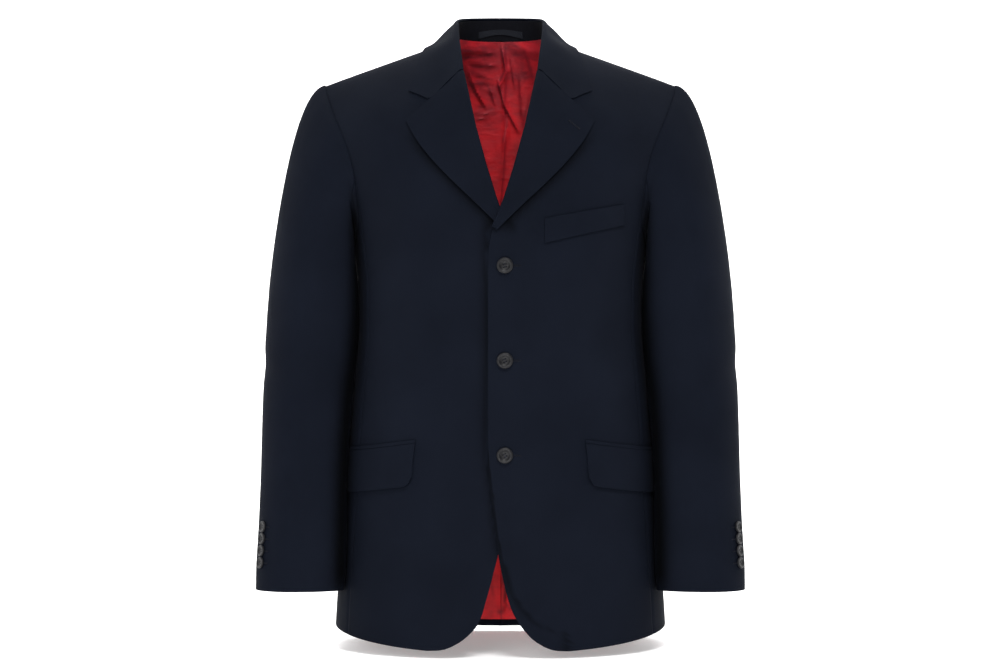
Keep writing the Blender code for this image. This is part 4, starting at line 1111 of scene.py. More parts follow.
def sleeve_grid():
    """Points of a whole sleeve in the half where x is positive, and its two seams."""
    places, fore, hind = armhole_ring()
    count = len(places)
    seam = [trunk(turn, drop) for turn, drop in places]
    outward = [trunk_normal(turn, drop) for turn, drop in places]
    top_shares = shares_along([seam[(hind + i) % count] for i in range(count - hind + fore + 1)])
    under_shares = shares_along([seam[i] for i in range(fore, hind + 1)])
    first_angles = sleeve_angles(SLEEVE_TOP, fore, hind, count, top_shares, under_shares)
    ends = [sleeve_section(angle, SLEEVE_TOP) for angle in first_angles]
    widest = SLEEVE["clear"](SLEEVE_TOP)
    tuck = []
    for place, out, angle in zip(seam, outward, first_angles):
        leave = cap_directions(angle)[0].normalized()
        tuck.append(place - out * (WALL + TUCK_DEPTH) - leave * TUCK_REACH)
    rows = [tuck]
    for share in (*CAP_FIRST_SHARES, *shares_of(CAP_STEPS)[1:-1]):
        row = []
        for i in range(count):
            reach = (ends[i] - seam[i]).length
            leave, arrive = cap_directions(first_angles[i])
            start = seam[i] + outward[i] * ARMHOLE_LIFT + leave.normalized() * ARMHOLE_STEP
            point = hermite(start, ends[i], leave * reach, arrive * reach, share)
            gap = blend(ARMHOLE_CLEARANCE, widest, ease(share))
            limit = trunk_width_at(point.x, point.y, point.z) + gap
            if share > 0.0 and point.x < limit:
                point.x = limit
            row.append(point)
        rows.append(row)
    for level in reversed(stations(SLEEVE_CUFF, SLEEVE_TOP, SLEEVE_LEVEL_STEP)):
        angles = sleeve_angles(level, fore, hind, count, top_shares, under_shares)
        rows.append([sleeve_section(angle, level) for angle in angles])
    return rows, fore, hind


def ring_inward(ring):
    """Directions into the wall behind a closed ring of columns."""
    count, last = len(ring[0]), len(ring) - 1
    return [[-(row[(c + 1) % count] - row[c - 1]).cross(
        ring[min(r + 1, last)][c] - ring[max(r - 1, 0)][c]).normalized() for c in range(count)]
        for r, row in enumerate(ring)]


def near_edges(rows):
    """The grid with extra columns close to its first and last ones, for the seams' rolled edges."""
    found = []
    for row in rows:
        head, tail = ([end.lerp(inner, min(SEAM_COLUMN_SHARE, step / (inner - end).length))
                       for step in SEAM_COLUMN_STEPS] for end, inner in (row[:2], row[:-3:-1]))
        found.append([row[0]] + head + row[1:-1] + tail[::-1] + [row[-1]])
    return found


# ---- lapels and collar ----


def roll_place(side, along):
    """Place on the roll line, 0 at the gorge and 1 at the break, as x and z in its own half."""
    drop = blend(GORGE_DROP, BREAK_DROP, along)
    below = max(d for d in ROLL_DROPS if d <= drop + TINY)
    above = min([d for d in ROLL_DROPS if d > below] or [below + 1])
    share = (drop - below) / (above - below)
    first, second = (trunk(turn_at(FRONT_EDGE[side](d), d), d) for d in (below, above))
    point = first.lerp(second, share)
    return point.x, point.z


def roll_soft(share):
    """Extra height of a rolled piece near its fold, at a share of the lapel's width."""
    return LAPEL_ROLL_LIFT * (1.0 - ease(share / LAPEL_ROLL_REACH))


def rolled_start(place, x, z, dip=0.0):
    """The first points of a rolled piece's row, round the inside of its fold."""
    row = []
    for angle in ROLL_ANGLES:
        shift = ROLL_RADIUS * math.cos(math.radians(angle))
        rise = ROLL_CENTRE + ROLL_RADIUS * math.sin(math.radians(angle))
        row.append(place(x - shift, z - shift * dip, rise))
    return row


def lapel_grid(side):
    """Rows of a lapel from the gorge down, each from inside the roll to the outer edge."""
    def place(x, z, lift):
        return on_panel(side, x, z, lift)

    rows = []
    for along in shares_of(LAPEL_STEPS):
        roll_x, roll_z = roll_place(side, along)
        edge_x, edge_z = LAPEL["x"](along), LAPEL["z"](along)
        row = rolled_start(place, roll_x, roll_z, ROLL_DIP)
        for share in LAPEL_ACROSS:
            row.append(place(blend(roll_x, edge_x, share), blend(roll_z, edge_z, share),
                             LAPEL_GAP + LAPEL_WALL + roll_soft(share) * (1.0 - along)))
        rows.append(row)
    return rows


def collar_stations():
    """Base, fold, edge and directions at each station of the collar's half where x is positive."""
    found = []
    for row in bands(COLLAR_COLUMNS, COLLAR_ROWS):
        behind = row["face"] == "back"
        base = trunk(turn_at(row["base_x"], row["base_drop"], behind), row["base_drop"])
        fold = Vector((row["fold_x"], row["fold_y"], row["fold_z"]))
        if behind:
            edge = on_panel(LEFT, row["edge_x"], row["edge_z"], FALL_LIFT + COLLAR_BACK_LIFT, behind=True)
        else:
            edge = over_front(row["edge_x"], row["edge_z"], FALL_LIFT)
        found.append({"face": row["face"], "base": base, "fold": fold, "edge": edge})
    last = len(found) - 1
    for i, station in enumerate(found):
        before = found[i - 1]["fold"] if i else mirrored(found[1]["fold"], RIGHT)
        after = found[min(i + 1, last)]["fold"]
        along = (after - before).normalized()
        outward = station["edge"] - station["fold"]
        if station["face"] == "back":
            outward.z = 0.0
        outward = (outward - along * outward.dot(along)).normalized()
        upward = outward.cross(along).normalized()
        if upward.z < 0.0:
            upward = -upward
        station.update(outward=outward, upward=upward, centre=station["fold"] - upward * FOLD_RADIUS)
    return found


def fall_row(station, index):
    """Outer face of the collar's fall at a station, from inside the fold to the edge."""
    low, high = FOLD_FRONT_STATIONS
    forward = ease((index - low) / (high - low))
    row = []
    for back_angle, front_angle in zip(FOLD_ANGLES, FOLD_FRONT_ANGLES):
        turn = math.radians(blend(back_angle, front_angle, forward))
        row.append(station["centre"] + station["outward"] * (FOLD_RADIUS * math.cos(turn))
                   + station["upward"] * (FOLD_RADIUS * math.sin(turn)))
    fold, edge = station["fold"], station["edge"]
    proud = fold - over_front(fold.x, fold.z, FALL_LIFT)
    for share in FALL_ACROSS:
        point = fold.lerp(edge, share)
        if station["face"] == "front":
            point = over_front(point.x, point.z, FALL_LIFT) + proud * (1.0 - share) ** FALL_SETTLE
        else:
            point += station["upward"] * (FALL_BULGE * math.sin(math.pi * share))
        row.append(point)
    return row


def gorge_row():
    """Outer face of the collar's end, along the gorge seam to the notch and on to its tip."""
    end = bands(COLLAR_COLUMNS, COLLAR_ROWS)[-1]
    fold_x, fold_z, edge_x, edge_z = end["fold_x"], end["fold_z"], end["edge_x"], end["edge_z"]
    row = rolled_start(over_front, fold_x, fold_z)
    for share in FALL_ACROSS:
        if share <= NOTCH_SHARE:
            part = share / NOTCH_SHARE
            x, z = blend(fold_x, NOTCH_X, part), blend(fold_z, NOTCH_Z, part)
        else:
            part = (share - NOTCH_SHARE) / (1.0 - NOTCH_SHARE)
            x, z = blend(NOTCH_X, edge_x, part), blend(NOTCH_Z, edge_z, part)
        row.append(over_front(x, z, FALL_LIFT + roll_soft(share)))
    return row


def both_halves(rows):
    """Rows of a half from the middle outward, as rows of the whole from one end to the other."""
    return [[mirrored(point, RIGHT) for point in row] for row in reversed(rows[1:])] + rows


def stand_row(station):
    """Outer face of the collar's stand at a station, from the neck seam up to the fold."""
    top = (station["centre"] - station["outward"] * (FOLD_RADIUS - COLLAR_WALL)
           - station["upward"] * STAND_TOP_GAP)
    rise = (top - station["base"]).normalized()
    bottom = station["base"] + rise * STAND_BASE_GAP
    return [bottom.lerp(top, share) for share in STAND_SHARES]


# ---- lining ----


def fold_shape(x, z):
    """Height of the lining's pinched folds at a place on it, and how much painted shade its crease gives the
    place.
    """
    height = crease = 0.0
    for fold in FOLD_BANDS:
        width = fold["half_width"]
        dx, dz = fold["x1"] - fold["x0"], fold["z1"] - fold["z0"]
        length = math.hypot(dx, dz)
        along = ((x - fold["x0"]) * dx + (z - fold["z0"]) * dz) / length
        across = ((x - fold["x0"]) * dz - (z - fold["z0"]) * dx) / length
        if not -FOLD_PAST_END < along < length + FOLD_PAST_END or abs(across) > FOLD_END_WIDTHS * width:
            continue
        ends = (ease((along + FOLD_PAST_END) / FOLD_END_FADE)
                * ease((length + FOLD_PAST_END - along) / FOLD_END_FADE))
        slope = width * (FOLD_STEEP if across > 0.0 else FOLD_GENTLE)
        height += fold["height"] * ends * math.exp(-abs(across) / slope)
        deep = min(1.0, fold["height"] / CREASE_SHADE_FULL_HEIGHT) * ends ** 2
        deep *= swell(across - width * CREASE_SHADE_FOOT, max(CREASE_SHADE_LEAST, width * CREASE_SHADE_SPREAD))
        crease = max(crease, deep)
    away = x - PLEAT_X(z)
    if abs(away) < FOLD_END_WIDTHS * PLEAT_WIDTH:
        slope = PLEAT_WIDTH * (PLEAT_STEEP if away > 0.0 else PLEAT_GENTLE)
        height += PLEAT_HEIGHT * math.exp(-abs(away) / slope)
        crease = max(crease, PLEAT_SHADE * swell(away - PLEAT_SHADE_AWAY, CREASE_SHADE_LEAST))
    return height, crease


def lining_climb(turn, drop):
    """A lining row's drop near the neck, where the rows rise to an even line, below 0 above the neck seam."""
    climb = max(0.0, 1.0 - drop / LINING_RISE_DROP)
    if not climb:
        return drop
    top = trunk(turn, back_drop(0.0, turn))
    low, high = LINING_LINE_X
    within = 1.0 - ease((top.x - low) / (high - low))
    return drop - max(0.0, LINING_LINE_Z - top.z) * climb * within


def lining_point(side, turn, drop, slack):
    """Point of the lining, which follows the back and, above the neck seam, leans with the stand."""
    shifted = lining_climb(turn, drop)
    point = panel_point(side, turn, back_drop(max(shifted, 0.0), turn), -(WALL + LINING_GAP + slack))
    if shifted < 0.0:
        out = trunk_normal(turn, back_drop(0.0, turn))
        lean = Vector((side * out.x, out.y, 0.0)).normalized() * LINING_LEAN
        point += (Vector((0.0, 0.0, 1.0)) - lean) * -shifted
    return point


def lining_grid():
    """Points of the back's lining, which hangs a little clear of the back."""
    rows = []
    for drop in (stations(LINING_FIRST_DROP, LINING_FINE_DROP, LINING_FINE_STEP)
                 + stations(LINING_FINE_DROP, LINING_LAST_DROP, LINING_STEP)[1:]):
        end = outer_turn(drop, True)
        low = (drop - HEM_START) / (LINING_LAST_DROP - HEM_START)
        down = ease(drop / LINING_FULL_DROP) * (1.0 - ease(low))
        loose = (ease((drop - LINING_FIRST_DROP) / LINING_TOP_FADE)
                 * ease((LINING_LAST_DROP - LINING_HEM_FLAT - drop) / LINING_HEM_FADE))
        halves = {}
        for side in WORDS:
            halves[side] = []
            for part in shares_of(LINING_STEPS):
                share = part ** LINING_CROWD
                turn = blend(180.0, end, share)
                place = trunk(turn, back_drop(drop, turn))
                folds = fold_shape(side * place.x, place.z)[0]
                slack = LINING_SLACK * math.sin(math.pi * share) * down
                slack += LINING_PLEAT * swell(share, LINING_PLEAT_REACH) * down
                slack += folds * loose * ease((1.0 - share) / LINING_SIDE_FADE)
                halves[side].append(lining_point(side, turn, drop, slack))
        rows.append(halves[RIGHT][::-1] + halves[LEFT][1:])
    return rows


# ---- pockets ----


def turns_along(start, drop, distances):
    """Turns that lie the given distances along a level line of the trunk's form."""
    turns = []
    turn, walked = start, 0.0
    for distance in distances:
        while walked < distance:
            length = (trunk(turn + WALK_STEP, drop) - trunk(turn, drop)).length
            part = min(1.0, (distance - walked) / length)
            turn += WALK_STEP * part
            walked += length * part
        turns.append(turn)
    return turns


def flap_height(distance):
    """Height of a flap at a distance from its front end, with both lower corners rounded."""
    inset = min(distance, FLAP_LENGTH - distance, FLAP_CORNER)
    return FLAP_HEIGHT - FLAP_CORNER + math.sqrt(FLAP_CORNER**2 - (FLAP_CORNER - inset) ** 2)


def flap_distances():
    """Distances along a flap, close together at its rounded corners."""
    corner = [FLAP_CORNER * (1.0 - math.cos(math.radians(90.0 * i / FLAP_CORNER_STEPS)))
              for i in range(FLAP_CORNER_STEPS + 1)]
    middle = stations(FLAP_CORNER, FLAP_LENGTH - FLAP_CORNER, FLAP_STEP)[1:-1]
    return corner + middle + [FLAP_LENGTH - d for d in reversed(corner)]


def pocket_drop(distance):
    """Drop of a hip pocket's mouth at a distance from its front end."""
    return FLAP_TOP + FLAP_SLANT * math.sin(math.pi / 2.0 * distance / FLAP_LENGTH)


def pocket_places():
    """Turns and distances of the columns along a hip pocket."""
    distances = flap_distances()
    return list(zip(turns_along(turn_at(FLAP_START_X, FLAP_TOP), FLAP_TOP, distances), distances))


def flap_grid(side, lift):
    places = pocket_places()
    degree = (places[-1][0] - places[0][0]) / FLAP_LENGTH
    rows = []
    for share in shares_of(FLAP_DEPTH_STEPS):
        row = []
        for turn, distance in places:
            ahead = 1.0 - distance / FLAP_LENGTH
            drop = pocket_drop(distance) + flap_height(distance) * share
            row.append(panel_point(side, turn + FLAP_LEAN * degree * share * ahead, drop,
                                   lift + FLAP_FLARE * share * ahead))
        rows.append(row)
    return rows


def jet_grid(side, lift):
    places = pocket_places()
    rows = []
    for part in JET_SHARES:
        height, proud = JET_GAP + JET_HEIGHT * part, lift + JET_SWELL * math.sin(math.pi * part)
        rows.append([panel_point(side, turn, pocket_drop(distance) - height, proud)
                     for turn, distance in places])
    return rows


def welt_grid(side, lift):
    rows = []
    for down in shares_of(WELT_DEPTH_STEPS):
        row = []
        for share in shares_of(WELT_STEPS):
            z = blend(blend(*WELT_TOP, share), blend(*WELT_BOTTOM, share), down)
            row.append(on_panel(side, blend(*WELT_X, share), z, lift))
        rows.append(row)
    return rows


# ---- buttons and buttonholes ----


def facing(right, left, upper, lower):
    """Outward direction of a form from four points on it about a place."""
    return (right - left).cross(upper - lower).normalized()


def placed(place, normal, upward):
    """The matrix that carries a piece from the origin to its place, its Z along the normal, Y near upward."""
    over = upward.cross(normal).normalized()
    true_up = normal.cross(over)
    turned = Matrix((over, true_up, normal)).transposed().to_4x4()
    return Matrix.Translation(place * MM) @ turned


def button_mesh(radius, wall):
    """A turned button with a raised rim and a dished middle, at the origin."""
    bm = bmesh.new()
    verts = [bm.verts.new((share * radius * MM, 0.0, height * wall * MM)) for share, height in BUTTON_PROFILE]
    edges = [bm.edges.new(pair) for pair in zip(verts, verts[1:])]
    bmesh.ops.spin(bm, geom=verts + edges, axis=(0, 0, 1), cent=(0, 0, 0), steps=BUTTON_SIDES,
                   angle=math.tau, use_merge=True, use_duplicate=False)
    bmesh.ops.remove_doubles(bm, verts=bm.verts[:], dist=BUTTON_MERGE)
    bmesh.ops.recalc_face_normals(bm, faces=bm.faces[:])
    return bm


def drilled(name, radius, wall, finish):
    """The button with its four holes cut, as a mesh."""
    blank = collect(name + "_blank", button_mesh(radius, wall), finish)
    bm = bmesh.new()
    reach = HOLE_PLACE * radius * MM
    hole = HOLE_SHARE * radius * MM
    for x, y in ((1, 1), (1, -1), (-1, 1), (-1, -1)):
        bmesh.ops.create_cone(bm, cap_ends=True, segments=HOLE_SIDES, radius1=hole, radius2=hole,
                              depth=3.0 * wall * MM,
                              matrix=Matrix.Translation((x * reach, y * reach, wall * MM * 0.5)))
    drill = collect(name + "_drill", bm, finish)
    cut = blank.modifiers.new("holes", "BOOLEAN")
    cut.operation = "DIFFERENCE"
    cut.solver = "EXACT"
    cut.object = drill
    bpy.context.view_layer.update()
    mesh = bpy.data.meshes.new_from_object(blank.evaluated_get(bpy.context.evaluated_depsgraph_get()))
    mesh.name = name
    for item in (blank, drill):
        bpy.data.objects.remove(item, do_unlink=True)
    return mesh


def thread_bars(bm, radius, wall, matrix):
    """Two stitches of thread across a button's holes, of three strands each."""
    reach = HOLE_PLACE * radius * MM
    thick = THREAD_RADIUS * MM
    for y in (-reach, reach):
        for offset in THREAD_OFFSETS:
            made = bmesh.ops.create_uvsphere(bm, u_segments=8, v_segments=8, radius=thick)
            bmesh.ops.scale(bm, verts=made["verts"], vec=(reach / thick * THREAD_PAST, 1.0, THREAD_FLAT))
            place = Matrix.Translation((0.0, y + offset * MM, wall * THREAD_HEIGHT * MM))
            bmesh.ops.transform(bm, verts=made["verts"], matrix=matrix @ place)


def slit_place(walk, length, width):
    """Place and outward turn on the outline of a slit with round ends, a walk from its upper left."""
    radius = width / 2.0
    bend = math.pi * radius
    back = walk >= length + bend
    if back:
        walk -= length + bend
    if walk < length:
        x, y, turn = walk - length / 2.0, radius, 0.5 * math.pi
    else:
        turn = 0.5 * math.pi - (walk - length) / radius
        x, y = length / 2.0 + radius * math.cos(turn), radius * math.sin(turn)
    return (-x, -y, turn - math.pi) if back else (x, y, turn)


def thread_ring(bm, matrix, length, width, thick, count):
    """A worked buttonhole: a ring of slanted stitches round a slit, lying in the plane z = 0."""
    made = []
    for i in range(count):
        x, y, turn = slit_place((2.0 * length + math.pi * width) * i / count, length, width)
        stitch = bmesh.ops.create_icosphere(bm, subdivisions=1, radius=0.5 * MM)["verts"]
        bmesh.ops.scale(bm, verts=stitch, vec=[size * thick for size in STITCH_SIZE])
        slant = Matrix.Rotation(turn + STITCH_SLANT, 3, "Z")
        bmesh.ops.rotate(bm, verts=stitch, cent=(0, 0, 0), matrix=slant)
        bmesh.ops.translate(bm, verts=stitch, vec=(x * MM, y * MM, 0.0))
        made += stitch
    bmesh.ops.transform(bm, verts=made, matrix=matrix)


def front_cross(x, drop, lift):
    """A place on the left front and the four about it."""
    return [on_panel(LEFT, x + dx, dz - drop, lift) for dx, dz in BUTTON_CROSS]


def cuff_cross(level, swing=0.0):
    """A place on the left cuff and the four about it."""
    return [sleeve_section(CUFF_BUTTON_ANGLE + swing - dx, level + dz) for dx, dz in BUTTON_CROSS]


# ---- materials ----


class Signal:
    """A number that varies over a surface, with arithmetic that adds Math nodes."""

    def __init__(self, finish, socket):
        self.finish = finish
        self.socket = socket

    def math(self, operation, *others):
        return self.finish.number("ShaderNodeMath", 0, {"operation": operation},
                                  dict(enumerate((self.socket, *others))))

    def flipped(self, operation, other):
        return self.finish.number("ShaderNodeMath", 0, {"operation": operation}, {0: other, 1: self.socket})

    def __add__(self, other):
        return self.math("ADD", other)

    def __sub__(self, other):
        return self.math("SUBTRACT", other)

    def __rsub__(self, other):
        return self.flipped("SUBTRACT", other)

    def __mul__(self, other):
        return self.math("MULTIPLY", other)

    def __truediv__(self, other):
        return self.math("DIVIDE", other)

    __radd__ = __add__
    __rmul__ = __mul__

    def sine(self):
        return self.math("SINE")

    def limited(self, low, high):
        return self.math("MAXIMUM", low).math("MINIMUM", high)

    def between(self, low, high):
        """0 below low, 1 above high, and even between them."""
        return ((self - low) / (high - low)).limited(0.0, 1.0)


class Finish:
    """A material built from nodes."""

    def __init__(self, name):
        self.material = bpy.data.materials.new(name)
        self.material.use_nodes = True
        self.tree = self.material.node_tree
        self.shader = self.tree.nodes["Principled BSDF"]

    def node(self, kind, settings=None, inputs=None):
        node = self.tree.nodes.new(kind)
        for key, value in (settings or {}).items():
            setattr(node, key, value)
        for key, value in (inputs or {}).items():
            self.feed(self.find(node.inputs, key), value)
        return node

    def find(self, sockets, key):
        return next((socket for socket in sockets if socket.identifier == key), None) or sockets[key]

    def feed(self, socket, value):
        if isinstance(value, Signal):
            value = value.socket
        if isinstance(value, bpy.types.NodeSocket):
            self.tree.links.new(value, socket)
        else:
            socket.default_value = value

    def set(self, **values):
        for key, value in values.items():
            self.feed(self.shader.inputs[key.replace("_", " ")], value)

    def number(self, kind, output, settings=None, inputs=None):
        """One output of a new node, as a number."""
        return Signal(self, self.find(self.node(kind, settings, inputs).outputs, output))

    def cut_place(self):
        """Place on the cloth along and down its cut, in metres."""
        cut = self.node("ShaderNodeUVMap", {"uv_map": "cut"})
        parts = self.node("ShaderNodeSeparateXYZ", None, {"Vector": cut.outputs["UV"]})
        return Signal(self, parts.outputs["X"]), Signal(self, parts.outputs["Y"])

    def crease(self):
        """How much painted shade the cloth takes in its creases and hollows, from its own attribute."""
        return self.number("ShaderNodeAttribute", "Fac", {"attribute_name": "crease"})

    def noise(self, scale, detail=2.0, stretch=(1.0, 1.0, 1.0), kind="FBM", distortion=0.0):
        """Noise on the object's own coordinates."""
        place = self.node("ShaderNodeTexCoord")
        mapping = self.node("ShaderNodeMapping", None, {"Vector": place.outputs["Object"], "Scale": stretch})
        return self.number("ShaderNodeTexNoise", "Fac", {"noise_type": kind}, {
            "Vector": mapping.outputs["Vector"], "Scale": scale, "Detail": detail, "Distortion": distortion})

    def mix(self, factor, first, second):
        node = self.node("ShaderNodeMix", {"data_type": "RGBA"}, {
            "Factor_Float": factor, "A_Color": first, "B_Color": second})
        return self.find(node.outputs, "Result_Color")

    def bump(self, height, distance, strength):
        node = self.node("ShaderNodeBump", None,
                         {"Height": height, "Distance": distance, "Strength": strength})
        self.set(Normal=node.outputs["Normal"])


def shade(colour, factor):
    return (*(part * factor for part in colour), 1.0)


def wool_finish(name, colour, sheen):
    """Fine twill wool: slanting ribs, soft nap, faint cloudiness and a dull sheen, with painted shade in the
    hollows beside the sleeves, under the lapels and beside the lap.
    """
    wool = Finish(name)
    along, down = wool.cut_place()
    rib = ((along + down * TWILL_SLANT) * (math.tau / TWILL_PITCH)).sine() * 0.5 + 0.5
    cloud = wool.noise(11.0, 3.0).between(0.3, 0.7)
    nap = wool.noise(1400.0, 2.0)
    fleck = wool.noise(420.0, 1.0).between(0.62, 0.74)
    tone = rib * 0.22 + cloud * 0.38 + nap * 0.3 + fleck * 0.1
    # Painted shade: the colour goes nearly black where the crease attribute says the wool lies in a hollow.
    deep = wool.crease()
    cloth = wool.mix(tone, shade(colour, 0.72), shade(colour, 1.3))
    wool.set(Base_Color=wool.mix(deep, cloth, shade(colour, 0.02)),
             Roughness=0.86 - cloud * 0.06 - rib * 0.05,
             Specular_IOR_Level=0.03, Sheen_Weight=sheen, Sheen_Roughness=0.25,
             Sheen_Tint=(0.7, 0.75, 0.95, 1.0))
    wool.bump(rib * 0.5 + nap * 0.5, 0.00012, 0.55)
    return wool.material


def satin_finish(name, colour):
    """Shot satin: fine weft lines, crumpled patches and a silky gloss, with painted shade in its creases and
    near the neck, and painted light lower down.
    """
    satin = Finish(name)
    _, down = satin.cut_place()
    weft = (down * (math.tau / WEAVE_PITCH)).sine() * 0.5 + 0.5
    patch = satin.noise(26.0, 3.0, (1.0, 1.0, 1.7), distortion=0.6).between(0.38, 0.66)
    crumple = satin.noise(44.0, 4.0, (1.0, 1.0, 2.2), "RIDGED_MULTIFRACTAL", 0.5)
    small = satin.noise(120.0, 3.0, (1.0, 1.0, 2.0))
    # Painted shade and light: the satin is darker for its first stretch below the neck and lighter lower
    # down, in the cutaway.
    lower = down.between(0.055, 0.15) * 0.25 + down.between(0.45, 0.65) * 0.32
    # Painted shade: the satin darkens in its creases, from its own crease attribute.
    fold = satin.crease()
    tone = ((patch * 0.5 + weft * 0.06 + small * 0.35) * 0.62 + lower) * (1.0 - fold * 0.85)
    deep = (colour[0] * 0.12, colour[1] * 0.5, colour[2] * 0.7, 1.0)
    satin.set(Base_Color=satin.mix(tone, deep, shade(colour, 1.0)), Roughness=0.56 - patch * 0.08,
              Specular_IOR_Level=0.28, Sheen_Weight=0.1, Sheen_Roughness=0.4,
              Sheen_Tint=(1.0, 0.45, 0.45, 1.0))
    satin.bump(crumple * 0.6 + small * 0.35 + weft * 0.02, 0.0020, 0.65)
    return satin.material


def felt_finish(name, colour):
    """Dark cloth of the collar's inside: a close plain weave with a soft nap."""
    felt = Finish(name)
    along, down = felt.cut_place()
    weave = ((along * (math.tau / WEAVE_PITCH)).sine() * (down * (math.tau / WEAVE_PITCH)).sine()) * 0.5 + 0.5
    nap = felt.noise(900.0, 2.0)
    cloud = felt.noise(30.0, 2.0)
    tone = weave * 0.3 + nap * 0.3 + cloud * 0.4
    felt.set(Base_Color=felt.mix(tone, shade(colour, 0.7), shade(colour, 1.4)),
             Roughness=0.85 - weave * 0.08,
             Specular_IOR_Level=0.03, Sheen_Weight=0.008, Sheen_Roughness=0.35,
             Sheen_Tint=(0.8, 0.8, 0.9, 1.0))
    felt.bump(weave * 0.6 + nap * 0.4, 0.00015, 0.6)
    return felt.material


def horn_finish(name, colour):
    """Dark polished button with faint streaks."""
    horn = Finish(name)
    streak = horn.noise(160.0, 4.0, (1.0, 1.0, 3.0), distortion=1.2).between(0.3, 0.75)
    grain = horn.noise(900.0, 2.0)
    horn.set(Base_Color=horn.mix(streak * 0.8 + grain * 0.2, shade(colour, 0.6), shade(colour, 1.9)),
             Roughness=0.34 + grain * 0.14, Specular_IOR_Level=0.18)
    horn.bump(grain * 0.6 + streak * 0.4, 0.00005, 0.35)
    return horn.material


def thread_finish(name, colour):
    """Twisted sewing thread."""
    thread = Finish(name)
    twist = thread.noise(2600.0, 1.0, (1.0, 1.0, 0.3))
    fuzz = thread.noise(5200.0, 2.0)
    thread.set(Base_Color=thread.mix(twist * 0.7 + fuzz * 0.3, shade(colour, 0.7), shade(colour, 1.4)),
               Roughness=0.62 + fuzz * 0.15,
               Specular_IOR_Level=0.1, Sheen_Weight=0.01, Sheen_Roughness=0.4,
               Sheen_Tint=(0.8, 0.8, 0.9, 1.0))
    thread.bump(twist, 0.0001, 0.5)
    return thread.material


def studio_finish(name, colour, glow):
    """Plain pale floor and backdrop with a faint mottle, and a little light of its own for pale shadows."""
    paper = Finish(name)
    mottle = paper.noise(3.0, 2.0)
    paper.set(Base_Color=paper.mix(mottle, shade(colour, 0.985), shade(colour, 1.0)),
              Roughness=0.9 - mottle * 0.05,
              Specular_IOR_Level=0.1, Emission_Color=(1.0, 1.0, 1.0, 1.0), Emission_Strength=glow)
    return paper.material


def finish_named(name, maker, colour, *values):
    """The material of that name, made once."""
    return bpy.data.materials.get(name) or maker(name, tuple(colour), *values)


# ---- settings ----


class BlazerCloth(bpy.types.PropertyGroup):
    """Walls and colours of the cloth."""

    wall: bpy.props.FloatProperty(
        name="Cloth wall", description="Thickness of the wool cloth", default=WALL * MM, unit="LENGTH")
    lapel_wall: bpy.props.FloatProperty(
        name="Lapel wall", description="Thickness of a lapel's two layers", default=LAPEL_WALL * MM,
        unit="LENGTH")
    lining_wall: bpy.props.FloatProperty(
        name="Lining wall", description="Thickness of the back's lining", default=LINING_WALL * MM,
        unit="LENGTH")
    colour: bpy.props.FloatVectorProperty(
        name="Cloth colour", description="Colour of the wool", default=(0.0037, 0.0050, 0.0091),
        subtype="COLOR")
    trim_colour: bpy.props.FloatVectorProperty(
        name="Collar band colour", description="Colour inside the collar", default=(0.0040, 0.0042, 0.0058),
        subtype="COLOR")
    loop_colour: bpy.props.FloatVectorProperty(
        name="Loop colour", description="Colour of the loop in the collar", default=(0.0105, 0.0115, 0.0150),
        subtype="COLOR")
    lining_colour: bpy.props.FloatVectorProperty(
        name="Lining colour", description="Colour of the satin lining", default=(0.92, 0.017, 0.024),
        subtype="COLOR")
    sheen: bpy.props.FloatProperty(
        name="Sheen", description="How much the nap catches the light", default=0.014, subtype="FACTOR")


class BlazerButtons(bpy.types.PropertyGroup):
    """Sizes and colours of the buttons."""

    front_radius: bpy.props.FloatProperty(
        name="Front button radius", description="Radius of the three front buttons", default=0.010,
        unit="LENGTH")
    cuff_radius: bpy.props.FloatProperty(
        name="Cuff button radius", description="Radius of the cuff buttons", default=0.0072, unit="LENGTH")
    colour: bpy.props.FloatVectorProperty(
        name="Button colour", description="Colour of the buttons", default=(0.0055, 0.0055, 0.0065),
        subtype="COLOR")
    thread_colour: bpy.props.FloatVectorProperty(
        name="Thread colour", description="Colour of the sewing thread", default=(0.0045, 0.0054, 0.0095),
        subtype="COLOR")


class BlazerStudio(bpy.types.PropertyGroup):
    """Floor and lights of the studio."""

    floor_colour: bpy.props.FloatVectorProperty(
        name="Floor colour", description="Colour of the floor and backdrop", default=(0.87, 0.87, 0.87),
        subtype="COLOR")
    floor_glow: bpy.props.FloatProperty(
        name="Floor glow", description="Light that the floor and backdrop give out themselves", default=0.28)
    floor_gap: bpy.props.FloatProperty(
        name="Floor gap", description="Height of the lowest hem over the floor", default=0.004, unit="LENGTH")
    key_power: bpy.props.FloatProperty(
        name="Overhead power", description="Power of the overhead light", default=100.0, unit="POWER")
    fill_power: bpy.props.FloatProperty(
        name="Front power", description="Power of the front light", default=82.0, unit="POWER")
    back_power: bpy.props.FloatProperty(
        name="Backdrop power", description="Power of the light on the backdrop", default=260.0, unit="POWER")
    hem_power: bpy.props.FloatProperty(
        name="Hem power", description="Power of the low light into the cutaway", default=2.1, unit="POWER")
    side_power: bpy.props.FloatProperty(
        name="Side power", description="Power of each side light", default=32.0, unit="POWER")
    ambient: bpy.props.FloatProperty(
        name="Ambient", description="Strength of the light from all round", default=0.2)


def body_finish(context):
    cloth = context.scene.blazer_cloth
    return finish_named("navy_wool", wool_finish, cloth.colour, cloth.sheen)


# ---- operators ----


class BLAZER_OT_trunk(bpy.types.Operator):
    """Dress the fronts, sides and backs"""

    bl_idname = "blazer.trunk"
    bl_label = "Trunk panels"

    def execute(self, context):
        wall = context.scene.blazer_cloth.wall / MM
        finish = body_finish(context)
        for side, word in WORDS.items():
            for kind, places, sides, rests_on in (
                    ("front", front_places(side), ("last", "top"), f"back_{word}"),
                    ("back", back_places(), ("first", "last", "top"), "collar_stand"),
                    ("side", side_places(), ("first", "last"), f"front_{word}")):
                trunk_panel(kind, side, places, sides, rests_on, finish, wall)
        return {"FINISHED"}


